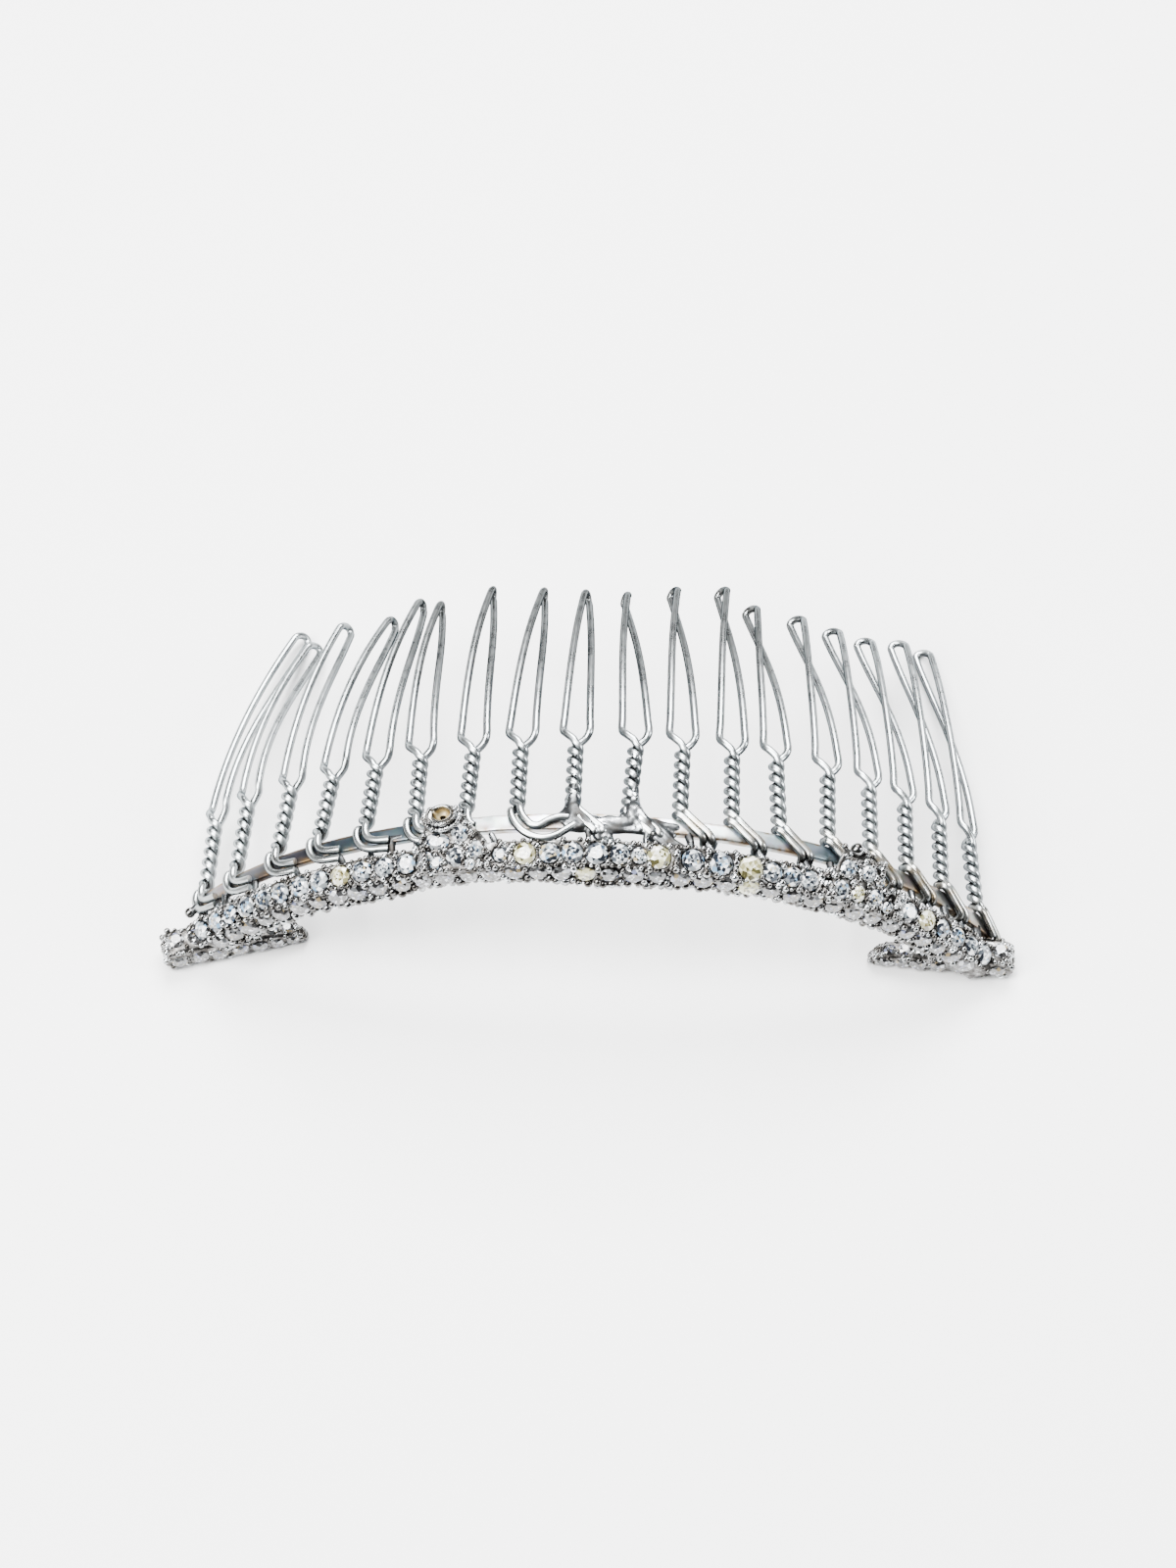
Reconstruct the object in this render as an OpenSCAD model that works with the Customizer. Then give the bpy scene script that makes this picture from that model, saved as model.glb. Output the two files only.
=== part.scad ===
// Small gem-set hair comb: eighteen twisted wire teeth wound on an arched bar,
// and an arched band of cut stones soldered along the front of the bar.
// Millimetres. +Z is up, X runs across the arch, the stones face -Y and up, the teeth point to +Y.
// The comb lies convex side up on z = 0: on the two feet in front, and on its outermost teeth behind.

/* [Arch] */
// Radius of the middle of the arch, along the bar
arch_mid_r = 48; // [46:1:50]
// Radius of the arch towards its two ends
arch_end_r = 37; // [36:1:38]
// Length along the arch from its top to the change of radius
arch_mid_len = 20; // [18:1:22]
// Height of the arch's top above the surface that the comb lies on
arch_rise = 17.5; // [17.5:0.5:20]

/* [Bar] */
// Width of the flat bar, along the teeth
bar_w = 1.4; // [1.3:0.1:1.5]
// How far the bar's rear edge lies in front of the arch's reference line
bar_back = 0.6; // [0.5:0.05:0.7]
// Thickness of the flat bar, across the arch
bar_t = 0.7; // [0.6:0.1:0.8]
// How far the bar's outer face stands above the line of the teeth
bar_face = 0.25; // [0.2:0.05:0.3]
// Length of the bar's left half along the arch
bar_left = 38.3; // [38:0.1:38.8]
// Length of the bar's right half along the arch
bar_right = 38.6; // [38:0.1:38.8]

/* [Teeth] */
// Distance between neighbouring teeth along the arch
tooth_pitch = 4.3; // [4.2:0.1:4.4]
// Diameter of the tooth wire
wire_d = 0.58; // [0.5:0.02:0.58]
// Length of the twisted shank
shank_len = 6.25; // [6:0.25:7]
// Turns of the two strands in a shank
shank_turns = 3; // [2:1:3]
// Half the distance between the two strands' centres in the shank
strand_off = 0.38; // [0.37:0.01:0.4]
// Half the distance between a tooth's two legs at its shoulders
shoulder_half = 1.1; // [1:0.05:1.2]
// Half the distance between the two legs where the round tip starts
tip_half = 0.7; // [0.6:0.05:0.8]

/* [Stone band] */
// Diameter of the stones in the two rows
stone_d = 1.7; // [1.5:0.05:1.75]
// Distance between neighbouring stones along the band
stone_pitch = 1.95; // [1.95:0.05:2.2]
// Depth of the band's front ridge in front of the arch's reference line
ridge_y = 5.15; // [5.1:0.05:5.3]
// Height of the ridge above the line of the teeth
ridge_r = -0.26; // [-0.3:0.02:-0.2]
// Tilt of the upper row of stones towards the front
upper_tilt = 22; // [18:1:26]
// Tilt of the front row of stones towards the front
front_tilt = 80; // [76:1:84]
// Length of each half of the band along the arch
band_half = 38.6; // [38:0.1:38.8]

/* [Feet] */
// Length of each foot
foot_len = 12.1; // [11.5:0.1:12.6]
// Height and depth of a foot at its outer end
foot_outer = 2.6; // [2.4:0.1:2.8]
// Height and depth of a foot at its inner end
foot_inner = 1.5; // [1.4:0.1:1.7]
// Turn of the left foot, inner end towards the teeth
foot_turn_left = 16; // [12:1:20]
// Turn of the right foot, inner end towards the teeth
foot_turn_right = 5; // [0:1:10]

/* [Hidden] */

// Each tooth was bent by hand, so each departs a little from an even comb
SHIFT = 0;  // along the arch from its even place, mm
LEAN = 1;   // sideways lean of the shank, degrees
SIDE = 2;   // sideways shift of the tip against the fork, mm
DROP = 3;   // bend of the tip towards the inside of the arch, mm
REACH = 4;  // length from the fork to the tip, mm
TURN = 5;   // turn of the tip about the tooth's own line, degrees
MORE = 6;   // how much longer its shank is than shank_len, mm
TAIL = 7;   // which of the routes over the bar its two strands take
TEETH = [
    [-0.9,  2,  1.71, 5.92, 22.1,  95,  0.45, 1],
    [-0.9,  5, -0.8,  6.3,  20.6,  90,  0.3,  1],
    [-0.3,  7, -0.1,  5.2,  20.4,  90, -0.2,  1],
    [-0.3,  8,  0.5,  6.3,  20.5, 100, -0.5,  1],
    [-0.2,  5,  0.3,  5.6,  21.1,  99, -0.5,  1],
    [-0.1,  1, -1.0,  4.9,  19.6, 106, -0.3,  1],
    [-0.1,  3, -0.4,  5.1,  20.6, 103, -0.3,  1],
    [-0.2,  1,  0.6,  5.6,  20.3,  97, -0.2,  1],
    [ 0.0,  1,  0.4,  5.6,  19.9,  80, -0.1,  0],
    [ 0.2,  5, -0.6,  5.7,  19.8, 102,  0.0,  0],
    [ 0.1,  2,  0.2,  5.2,  20.5, 110,  0.0,  0],
    [ 0.1,  1,  0.7,  4.6,  20.8, 113,  0.1,  0],
    [-0.1, -1,  0.2,  5.3,  19.8, 118,  0.3,  0],
    [ 0.0,  2,  0.3,  5.1,  20.0, 123,  0.2,  0],
    [-0.1,  1,  0.4,  4.9,  19.9, 125,  0.2,  0],
    [-0.6,  2,  0.4,  4.5,  20.3, 125,  0.0,  0],
    [-0.7,  2,  0.75, 4.0,  21.8, 120,  0.0,  0],
    [ 0.0, -4,  1.09, 4.09, 23.1, 110,  0.0,  2]];

// Routes of a tooth's two strands from the foot of the twist, first the strand that is in front there.
// They cross the bar aslant and go round and under it, or sweep round along its front, or end upon it.
ALONG = 0;   // along the arch
ACROSS = 1;  // across the bar, towards the teeth
OUT = 2;     // outwards from the line of the teeth
TAILS = [
    [[[0.42,  0.00,  0.50],
      [0.75, -0.36,  0.66],
      [2.22, -1.80,  0.66],
      [2.60, -2.35,  0.54],
      [2.90, -2.46, -0.62],
      [3.18, -1.90, -0.92],
      [3.33, -1.10, -0.88]],
     [[-0.30, -0.24,  0.50],
      [ 0.24, -0.75,  0.66],
      [ 1.62, -2.10,  0.66],
      [ 1.92, -2.40,  0.44],
      [ 2.22, -2.46, -0.62],
      [ 2.50, -1.90, -0.92],
      [ 2.65, -1.10, -0.88]]],
    [[[0.30,  0.02,  0.52],
      [0.30, -0.50,  0.66],
      [0.38, -1.05,  0.66],
      [0.72, -1.50,  0.66],
      [1.35, -1.80,  0.65],
      [2.20, -1.90,  0.64]],
     [[-0.42, -0.36,  0.56],
      [-0.45, -0.95,  0.66],
      [-0.28, -1.60,  0.64],
      [ 0.20, -2.20,  0.57],
      [ 0.95, -2.50,  0.50],
      [ 2.10, -2.55,  0.50]]],
    [[[0.42,  0.00,  0.50],
      [0.75, -0.36,  0.66],
      [2.22, -1.80,  0.66]],
     [[-0.30, -0.24,  0.50],
      [ 0.24, -0.75,  0.66],
      [ 1.36, -1.84,  0.66]]]];

// Helix segments a turn, and corners of the wire's section
helix_steps = 6;
wire_sides = 5;
// Foot of the twist above the reference line, for the strand that is in front there
twist_start = 0.35;
// Share of the loop's length where its shoulders are, and where its round tip starts
shoulder_at = 0.07;
leg_stations = [0.15, 0.36, 0.58, 0.8];

// Cut stones: table radius and crown height as shares of the girdle radius, pavilion depth, clearance
table_share = 0.58;
crown_share = 0.35;
pavilion_share = 0.82;
stone_lift = 0.12;
stone_facets = 8;

// Section of the band, worked out from its ridge
ridge_to_row = 0.95;
groove_half = 0.84;
groove_depth = 0.85;

mid_angle = arch_mid_len / arch_mid_r * 180 / PI;
end_centre = [(arch_mid_r - arch_end_r) * sin(mid_angle), (arch_mid_r - arch_end_r) * cos(mid_angle) - arch_mid_r];
// Place of the arch's top in the part's frame, whose origin is at the middle of the whole comb's base
origin = [0.395, -11.498, arch_rise];

// Angle from upright at a distance s along the arch
function arch_angle(s) = abs(s) <= arch_mid_len ? s / arch_mid_r * 180 / PI
    : sign(s) * (mid_angle + (abs(s) - arch_mid_len) / arch_end_r * 180 / PI);

// Point on the line of the teeth at a distance s along the arch, as [x, z]
function arch_point(s) = let (a = arch_angle(s)) abs(s) <= arch_mid_len
    ? [arch_mid_r * sin(a), arch_mid_r * (cos(a) - 1)]
    : [sign(s) * end_centre[0] + arch_end_r * sin(a), end_centre[1] + arch_end_r * cos(a)];

// Direction along the arch, and outwards from it
function arch_along(s) = let (a = arch_angle(s)) [cos(a), 0, -sin(a)];
function arch_out(s) = let (a = arch_angle(s)) [sin(a), 0, cos(a)];

// Point beside the arch: t along it, y across it, r outwards
function beside_arch(s, t, y, r) = let (p = arch_point(s))
    origin + [p[0], y, p[1]] + t * arch_along(s) + r * arch_out(s);

function unit(v) = v / norm(v);
function turned(list) = [for (i = [len(list) - 1 : -1 : 0]) list[i]];

// Direction of a path at point i
function heading(path, i) = unit(path[min(i + 1, len(path) - 1)] - path[max(i - 1, 0)]);

// Part of v square to the direction h
function squared(v, h) = unit(v - h * (v * h));

// Round wire along a path of points
module wire(path, d) {
    last = len(path) - 1;
    sides = [for (i = 0, n = squared([0.2, 0.3, 1], heading(path, 0)); i <= last;
        i = i + 1, n = i <= last ? squared(n, heading(path, i)) : n) n];
    points = [for (i = [0 : last]) let (h = heading(path, i), n = sides[i], b = cross(h, n))
        for (k = [0 : wire_sides - 1]) let (a = 360 * k / wire_sides) path[i] + d / 2 * (cos(a) * n + sin(a) * b)];
    walls = [for (i = [0 : last - 1], k = [0 : wire_sides - 1])
        let (a = i * wire_sides + k, b = i * wire_sides + (k + 1) % wire_sides)
        each [[a, a + wire_sides, b], [b, a + wire_sides, b + wire_sides]]];
    caps = [[for (k = [0 : wire_sides - 1]) k], [for (k = [wire_sides - 1 : -1 : 0]) last * wire_sides + k]];
    polyhedron(points, concat(walls, caps), convexity = 6);
}

// One strand's route from the end of its tail up to the fork, beside tooth row.
// The strand that is behind at the foot of the twist goes a quarter turn further round to come to the front.
function strand(row, side) = let (
        lean = tan(row[LEAN]),
        top = shank_len + row[MORE],
        turns = side > 0 ? shank_turns : shank_turns + 0.25,
        rise = (top - twist_start) / shank_turns,
        steps = ceil(turns * helix_steps),
        twist = [for (i = [0 : steps])
            let (below = turns * (1 - i / steps), a = (side > 0 ? 90 : 270) - 360 * below, y = top - rise * below)
            [strand_off * cos(a) + y * lean, y, strand_off * sin(a)]],
        tail = TAILS[row[TAIL]][side > 0 ? 0 : 1])
    concat(turned(tail), twist);

// Point of a leg at a share v of the loop's length: side 1 is the strand in front at the fork
function leg_point(row, side, v, half, turn) = let (
        bend = row[DROP] * (3 * v * v - v * v * v) / 2,
        a = 180 - turn,
        top = shank_len + row[MORE],
        t = top * tan(row[LEAN]) + row[SIDE] * v + side * half * cos(a),
        r = -bend + side * half * sin(a))
    [t, top + row[REACH] * v, r];

// Half the spacing of the legs at a share v of the loop's length, and the turn there
function leg_half(v) = let (u = (v - shoulder_at) / (1 - shoulder_at))
    tip_half + (shoulder_half - tip_half) * pow(max(1 - u, 0), 1.7);
function leg_turn(row, v) = let (u = max(v - shoulder_at, 0) / (1 - shoulder_at)) row[TURN] * u * u;

// One leg from the fork to where the round tip starts
function leg(row, side) = let (tip_at = 1 - tip_half / row[REACH])
    concat([leg_point(row, side, shoulder_at * 0.45, shoulder_half * 0.66, 45),
            leg_point(row, side, shoulder_at, shoulder_half, 0)],
        [for (v = leg_stations) leg_point(row, side, v, leg_half(v), leg_turn(row, v))],
        [leg_point(row, side, tip_at, tip_half, row[TURN])]);

// Whole wire of a tooth in its own frame: up one strand, round the tip and down the other
function tooth_path(row) = let (
        tip = [for (a = [45, 90, 135]) leg_point(row, 1, 1 - tip_half * (1 - sin(a)) / row[REACH],
            tip_half * cos(a), row[TURN])])
    concat(strand(row, 1), leg(row, 1), tip, turned(leg(row, -1)), turned(strand(row, -1)));

module tooth(number) {
    row = TEETH[number - 1];
    s = (number - (len(TEETH) + 1) / 2) * tooth_pitch + row[SHIFT];
    // The tails follow the bar round the arch, and the rest of a tooth stays in its own plane
    color("silver") wire([for (p = tooth_path(row)) p[ACROSS] < -0.2 ? beside_arch(s + p[ALONG], 0, p[ACROSS], p[OUT])
        : beside_arch(s, p[ALONG], p[ACROSS], p[OUT])], wire_d);
}

// Sweeps a section, drawn as [outwards, across], along the arch for a length to the left and to the right.
// The middle stretch is a little thicker about the section's heart, and takes in the starts of the end ones.
module along_arch(left, right, heart) {
    lap = 0.25;
    module stretch(centre, r, a0, a1, growth) {
        translate(origin + [centre[0], 0, centre[1]]) rotate(-120, [1, 1, 1])
            rotate_extrude(angle = a1 - a0, start = a0, $fn = 180)
                translate([r, 0] + heart) scale(growth) translate(-heart) children();
    }
    stretch([0, -arch_mid_r], arch_mid_r, -mid_angle - lap, mid_angle + lap, 1.02) children();
    stretch([-end_centre[0], end_centre[1]], arch_end_r, arch_angle(-left), -mid_angle + lap, 1) children();
    stretch(end_centre, arch_end_r, mid_angle - lap, arch_angle(right), 1) children();
}

// Puts a shape beside the arch with +X along it and +Z outwards
module on_arch(s) {
    p = arch_point(s);
    translate(origin + [p[0], 0, p[1]]) rotate([0, arch_angle(s), 0]) children();
}

// Directions in the band's section, as [across, outwards], of a face tilted towards the front
function face_out(tilt) = [-sin(tilt), cos(tilt)];
function face_down(tilt) = [-cos(tilt), -sin(tilt)];
ridge = [-ridge_y, ridge_r];
upper_row = ridge - ridge_to_row * face_down(upper_tilt);
front_row = ridge + ridge_to_row * face_down(front_tilt);

// Flat wire bar that the teeth are wound on
module bar() {
    along_arch(bar_left, bar_right, [bar_face - bar_t / 2, -bar_back - bar_w / 2])
        translate([bar_face - bar_t, -bar_back - bar_w]) square([bar_t, bar_w]);
}

// Cast band with a groove under each row of stones
module band() {
    function groove(row, tilt) = [row - groove_half * face_down(tilt), row - groove_depth * face_out(tilt),
        row + groove_half * face_down(tilt)];
    outline = concat([[-3.1, 0.25], [-3.4, upper_row[1] + 0.4]], groove(upper_row, upper_tilt), [ridge],
        groove(front_row, front_tilt), [front_row + 1.0 * face_down(front_tilt), [-5.3, -2.5], [-3.6, -2.5], [-3.1, -2]]);
    along_arch(band_half, band_half, [-1.5, -4]) polygon([for (p = outline) [p[1], p[0]]]);
}

// Places of the stones along the two rows, and the stretches that the clusters cover
upper_places = [for (i = [-19 : 19]) i * stone_pitch];
front_places = [for (i = [-19 : 18]) (i + 0.5) * stone_pitch];
left_cluster_at = -11.6;
right_cluster_at = 22.3;
cluster_cover = 3.7;
function covered(s) = abs(s - left_cluster_at) < cluster_cover || abs(s - right_cluster_at) < cluster_cover;
yellow_upper = [-11 * stone_pitch, -3 * stone_pitch, 2 * stone_pitch, 7 * stone_pitch, 15 * stone_pitch];
yellow_front = [-0.5 * stone_pitch, 6.5 * stone_pitch];
function among(s, list) = len([for (v = list) if (abs(s - v) < 0.1) v]) > 0;

// A stone is [middle of the girdle, direction out of its table, direction in its girdle, radius]
function row_stone(s, row, tilt) = let (n = face_out(tilt), c = row + stone_lift * n)
    [beside_arch(s, 0, c[0], c[1]), n[0] * [0, 1, 0] + n[1] * arch_out(s), arch_along(s), stone_d / 2];

// Corners of a round brilliant: table, girdle and point
function stone_corners(stone) = let (
        c = stone[0], n = stone[1], u = stone[2], v = cross(n, u), r = stone[3])
    concat([for (k = [0 : stone_facets - 1]) let (a = 360 * (k + 0.5) / stone_facets)
            c + r * (crown_share * n + table_share * (cos(a) * u + sin(a) * v))],
        [for (k = [0 : stone_facets - 1]) let (a = 360 * (k + 0.5) / stone_facets) c + r * (cos(a) * u + sin(a) * v)],
        [c - r * pavilion_share * n]);

// Cut stones, each a closed shape of its own: a table, crown facets and pavilion facets
module stones(list) {
    count = 2 * stone_facets + 1;
    faces = concat([[for (k = [stone_facets - 1 : -1 : 0]) k]],
        [for (k = [0 : stone_facets - 1]) let (j = (k + 1) % stone_facets)
            each [[k, j, stone_facets + j, stone_facets + k], [stone_facets + k, stone_facets + j, count - 1]]]);
    polyhedron([for (stone = list) each stone_corners(stone)],
        [for (i = [0 : len(list) - 1], f = faces) [for (k = f) k + i * count]], convexity = 10);
}

module stones_upper_row() {
    color("gainsboro") stones([for (s = upper_places) if (!covered(s) && !among(s, yellow_upper))
        row_stone(s, upper_row, upper_tilt)]);
}

module stones_front_row() {
    color("lightgray") stones([for (s = front_places) if (!among(s, yellow_front))
        row_stone(s, front_row, front_tilt)]);
}

module yellow_stones() {
    color("khaki") stones(concat(
        [for (s = upper_places) if (!covered(s) && among(s, yellow_upper)) row_stone(s, upper_row, upper_tilt)],
        [for (s = front_places) if (among(s, yellow_front)) row_stone(s, front_row, front_tilt)]));
}

// Feet: the band's ends turn back inwards under the arch, and taper to their inner ends.
// A foot's own frame has its outer end's front corner at 0, X inwards, Y to the back, Z up.
foot_slope = (foot_outer - foot_inner) / (foot_len - foot_outer);
foot_angle = atan(foot_slope);
foot_stone_d = 1.5;
foot_top_places = [1.15, 7.9, 9.5, 11.0];
foot_front_places = [1.3, 7.0, 8.6, 10.05, 11.4];
left_foot_place = origin + [-36.05, -6.5, -arch_rise];
right_foot_place = origin + [35.75, -4.8, -arch_rise];
function foot_height(x) = foot_outer - foot_slope * max(x - foot_outer, 0);

// Places of a foot's stones: [middle of the girdle, direction out, direction along, radius]
foot_stones = concat(
    [for (x = foot_top_places) let (h = foot_height(x), a = x > foot_outer ? foot_angle : 0)
        [[x, h * 0.52, h + stone_lift], [sin(a), 0, cos(a)], [cos(a), 0, -sin(a)], foot_stone_d / 2 * (x > 9 ? 0.8 : 1)]],
    [for (x = foot_front_places) let (h = foot_height(x))
        [[x, -stone_lift, h * 0.5], [0, -1, 0], [1, 0, 0], foot_stone_d / 2 * (x > 9 ? 0.8 : 1)]]);

module foot() {
    outline = concat([for (a = [270 : -15 : 90]) foot_outer / 2 * [1 + cos(a), 1 + sin(a)]],
        [[foot_outer, foot_outer], [foot_len - 0.5, foot_inner], [foot_len, foot_inner - 0.5], [foot_len, 0]]);
    difference() {
        intersection() {
            translate([0, foot_outer, 0]) rotate([90, 0, 0]) linear_extrude(foot_outer) polygon(outline);
            linear_extrude(foot_outer) polygon([[0, 0], [foot_len - 0.5, 0], [foot_len, 0.5],
                [foot_len, foot_inner - 0.4], [foot_len - 0.4, foot_inner], [foot_outer, foot_outer], [0, foot_outer]]);
        }
        for (stone = foot_stones) pocket(stone);
    }
}

// Eight-sided pocket for a stone's pavilion, and the mounting that turns a foot's stones into place
module pocket(stone) {
    n = stone[1];
    r = stone[3];
    translate(stone[0] - (stone_lift + r * 0.9) * n) rotate([0, acos(n[2]), atan2(n[1], n[0])])
        cylinder(h = r * 0.9 + stone_lift, r = r * 0.98, $fn = 8);
}

function turn_z(v, a) = [v[0] * cos(a) - v[1] * sin(a), v[0] * sin(a) + v[1] * cos(a), v[2]];
function flip_x(v, side) = [side * v[0], v[1], v[2]];
function placed_stones(list, place, side, angle) = [for (stone = list)
    [place + turn_z(flip_x(stone[0], side), angle), turn_z(flip_x(stone[1], side), angle),
     turn_z(flip_x(stone[2], side), angle), stone[3]]];

module left_foot() {
    translate(left_foot_place) rotate([0, 0, foot_turn_left]) foot();
}

module right_foot() {
    translate(right_foot_place) rotate([0, 0, -foot_turn_right]) mirror([1, 0, 0]) foot();
}

module stones_left_foot() {
    color("gainsboro") stones(placed_stones(foot_stones, left_foot_place, 1, foot_turn_left));
}

module stones_right_foot() {
    color("gainsboro") stones(placed_stones(foot_stones, right_foot_place, -1, -foot_turn_right));
}

// Clusters: raised settings that climb from the band over the bar, clear of the strands below.
// A cluster's own frame has +X along the arch, +Z outwards, and y as on the bar.
cluster_under = 1.05;
cluster_top = 1.75;
cluster_slope = 30;
left_cluster_stones = [
    [-1.2, -3.2, 0.8], [0.75, -2.75, 0.75], [1.9, -4.0, 0.7], [0.2, -4.4, 0.75], [-1.4, -4.65, 0.55]];
right_cluster_stones = [
    [-1.9, -3.0, 0.75], [0.0, -2.9, 0.75], [-2.2, -4.6, 0.75], [-0.5, -4.5, 0.7], [1.2, -4.45, 0.75]];

// Height of a cluster's top at a depth y
function cluster_height(y) = cluster_top + min(y + 2.1, 0) * tan(cluster_slope);
function cluster_stone(p) = let (a = p[1] < -2.1 ? cluster_slope : 0)
    [[p[0], p[1] - stone_lift * sin(a), cluster_height(p[1]) + stone_lift * cos(a)], [0, -sin(a), cos(a)], [1, 0, 0], p[2]];

module cluster(plan, list) {
    side_outline = [[-0.5, cluster_under], [-2.6, cluster_under], [-3.2, 0.2], [-3.6, -0.8], [-4.9, -0.6],
        [-5.25, -0.16], [-5.25, cluster_height(-5.25)], [-2.1, cluster_top], [-0.7, cluster_top],
        [-0.5, cluster_top - 0.2]];
    difference() {
        intersection() {
            translate([-4, 0, 0]) rotate([90, 0, 90]) linear_extrude(8) polygon(side_outline);
            translate([0, 0, -2]) linear_extrude(6) polygon(plan);
        }
        for (p = list) pocket_on_slope(cluster_stone(p));
    }
}

// Eight-sided pocket on a face that leans to the front
module pocket_on_slope(stone) {
    r = stone[3];
    n = stone[1];
    translate(stone[0] - (stone_lift + r * 0.9) * n) rotate([atan2(-n[1], n[2]), 0, 0])
        cylinder(h = r * 0.9 + stone_lift, r = r * 0.98, $fn = 8);
}

module left_cluster() {
    on_arch(left_cluster_at)
        cluster([[-2.4, -5.4], [2.8, -5.4], [2.9, -3.2], [1.2, -1.5], [-0.4, -1.0], [-2.2, -1.6]], left_cluster_stones);
}

module right_cluster() {
    on_arch(right_cluster_at) {
        cluster([[-3.2, -5.4], [3.1, -5.4], [3.1, -4.2], [1.4, -2.4], [-0.9, -1.3], [-2.8, -1.5]], right_cluster_stones);
        // Small polished ball at the cluster's upper corner
        translate([-1.5, -1.4, cluster_top + 0.2]) sphere(d = 1.1, $fn = 32);
    }
}

function arch_stone(s, stone) = let (c = stone[0], n = stone[1])
    [beside_arch(s, c[0], c[1], c[2]), n[1] * [0, 1, 0] + n[2] * arch_out(s), arch_along(s), stone[3]];

module stones_left_cluster() {
    color("lightgray") stones([for (p = left_cluster_stones) arch_stone(left_cluster_at, cluster_stone(p))]);
}

module stones_right_cluster() {
    color("lightgray") stones([for (p = right_cluster_stones) arch_stone(right_cluster_at, cluster_stone(p))]);
}

// Empty setting at the top of the left cluster: a cup whose stone is lost, with a hole drilled through its seat
module empty_collet() {
    on_arch(left_cluster_at) translate([-1.2, -1.2, cluster_under + 0.18]) rotate([12, 0, 0]) difference() {
        cylinder(h = 1.1, r1 = 0.8, r2 = 1.1, $fn = 48);
        translate([0, 0, 0.5]) cylinder(h = 1, r1 = 0.4, r2 = 1.4, $fn = 48);
        translate([0, 0, -0.5]) cylinder(h = 2, r = 0.25, $fn = 24);
    }
}

// Lumps of solder that join the bar to the band, in the free stretches between the strands' tails
solder_places = [-37.6, -34.4, -17.2, -13.6, -1.3, 2.0, 2.5, 3.0, 6.8, 19.5, 27.8, 36.4];
module solder() {
    for (s = solder_places)
        on_arch(s) translate([0, -1.7, -0.25]) rotate([90, 0, 0]) cylinder(h = 1.9, r = 0.42, $fn = 24);
}

// Bar, band, feet, clusters, empty setting and solder are one soldered piece
module soldered_frame() {
    color("lightsteelblue") union() {
        bar();
        band();
        left_foot();
        right_foot();
        left_cluster();
        right_cluster();
        empty_collet();
        solder();
    }
}

soldered_frame();
stones_upper_row();
stones_front_row();
stones_left_foot();
stones_right_foot();
stones_left_cluster();
stones_right_cluster();
yellow_stones();
tooth(1);  // tooth_01
tooth(2);  // tooth_02
tooth(3);  // tooth_03
tooth(4);  // tooth_04
tooth(5);  // tooth_05
tooth(6);  // tooth_06
tooth(7);  // tooth_07
tooth(8);  // tooth_08
tooth(9);  // tooth_09
tooth(10);  // tooth_10
tooth(11);  // tooth_11
tooth(12);  // tooth_12
tooth(13);  // tooth_13
tooth(14);  // tooth_14
tooth(15);  // tooth_15
tooth(16);  // tooth_16
tooth(17);  // tooth_17
tooth(18);  // tooth_18
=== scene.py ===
import bpy
import bmesh
import random
from math import copysign, cos, dist, exp, hypot, pi, radians, sin, sqrt, tan
from mathutils import Matrix, Vector, noise


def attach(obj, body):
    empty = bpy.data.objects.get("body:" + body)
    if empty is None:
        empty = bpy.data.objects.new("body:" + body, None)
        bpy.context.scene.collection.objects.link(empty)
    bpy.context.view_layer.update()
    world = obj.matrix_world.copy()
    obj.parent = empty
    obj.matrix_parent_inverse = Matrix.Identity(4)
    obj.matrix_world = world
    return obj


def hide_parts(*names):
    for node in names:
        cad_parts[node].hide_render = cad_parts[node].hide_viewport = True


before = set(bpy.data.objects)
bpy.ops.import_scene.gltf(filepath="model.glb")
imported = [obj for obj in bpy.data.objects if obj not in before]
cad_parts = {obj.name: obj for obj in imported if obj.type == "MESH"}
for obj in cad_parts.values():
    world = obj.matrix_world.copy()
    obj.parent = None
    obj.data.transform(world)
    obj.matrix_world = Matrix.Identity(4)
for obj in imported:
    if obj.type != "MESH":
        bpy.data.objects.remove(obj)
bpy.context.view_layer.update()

# ---- Camera ----
# The comb is looked down on from its stones' side, with the teeth running away behind it.
# The values are the photograph's own angle, roll and distance, about the arch's top.
ELEVATION = radians(56.61)
YAW = radians(0.96)
ROLL = radians(2.61)
DISTANCE = 0.2
AIM_SIDE, AIM_RISE = -0.001, 0.00198
ARCH_TOP = Vector((0.395, -11.498, 17.5)) * 0.001
side_way = Vector((1, 0, 0))
look_way = Vector((0, cos(ELEVATION), -sin(ELEVATION)))
rise_way = Vector((0, sin(ELEVATION), cos(ELEVATION)))
swing = Matrix.Rotation(-YAW, 3, "Z")
eye = ARCH_TOP + swing @ (AIM_SIDE * side_way + AIM_RISE * rise_way - DISTANCE * look_way)
picture_right = swing @ (cos(ROLL) * side_way + sin(ROLL) * rise_way)
picture_up = swing @ (-sin(ROLL) * side_way + cos(ROLL) * rise_way)
backwards = -(swing @ look_way)


def new_object(name, data):
    obj = bpy.data.objects.new(name, data)
    bpy.context.collection.objects.link(obj)
    return obj


camera_data = bpy.data.cameras.new("photo_camera")
camera_data.sensor_fit = "VERTICAL"
camera_data.sensor_height = 24
camera_data.lens = 38.0
camera_data.clip_start = 0.005
camera_data.clip_end = 20
camera = new_object("photo_camera", camera_data)
camera.matrix_world = Matrix.Translation(eye) @ Matrix((picture_right, picture_up, backwards)).transposed().to_4x4()
bpy.context.scene.camera = camera

# ---- Floor and light ----
# A plain pale table top, broad soft lights behind and above it, smaller ones at the left and right,
# and a dim even surround, so that the round wires keep grey edges beside their bright lines.


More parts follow.
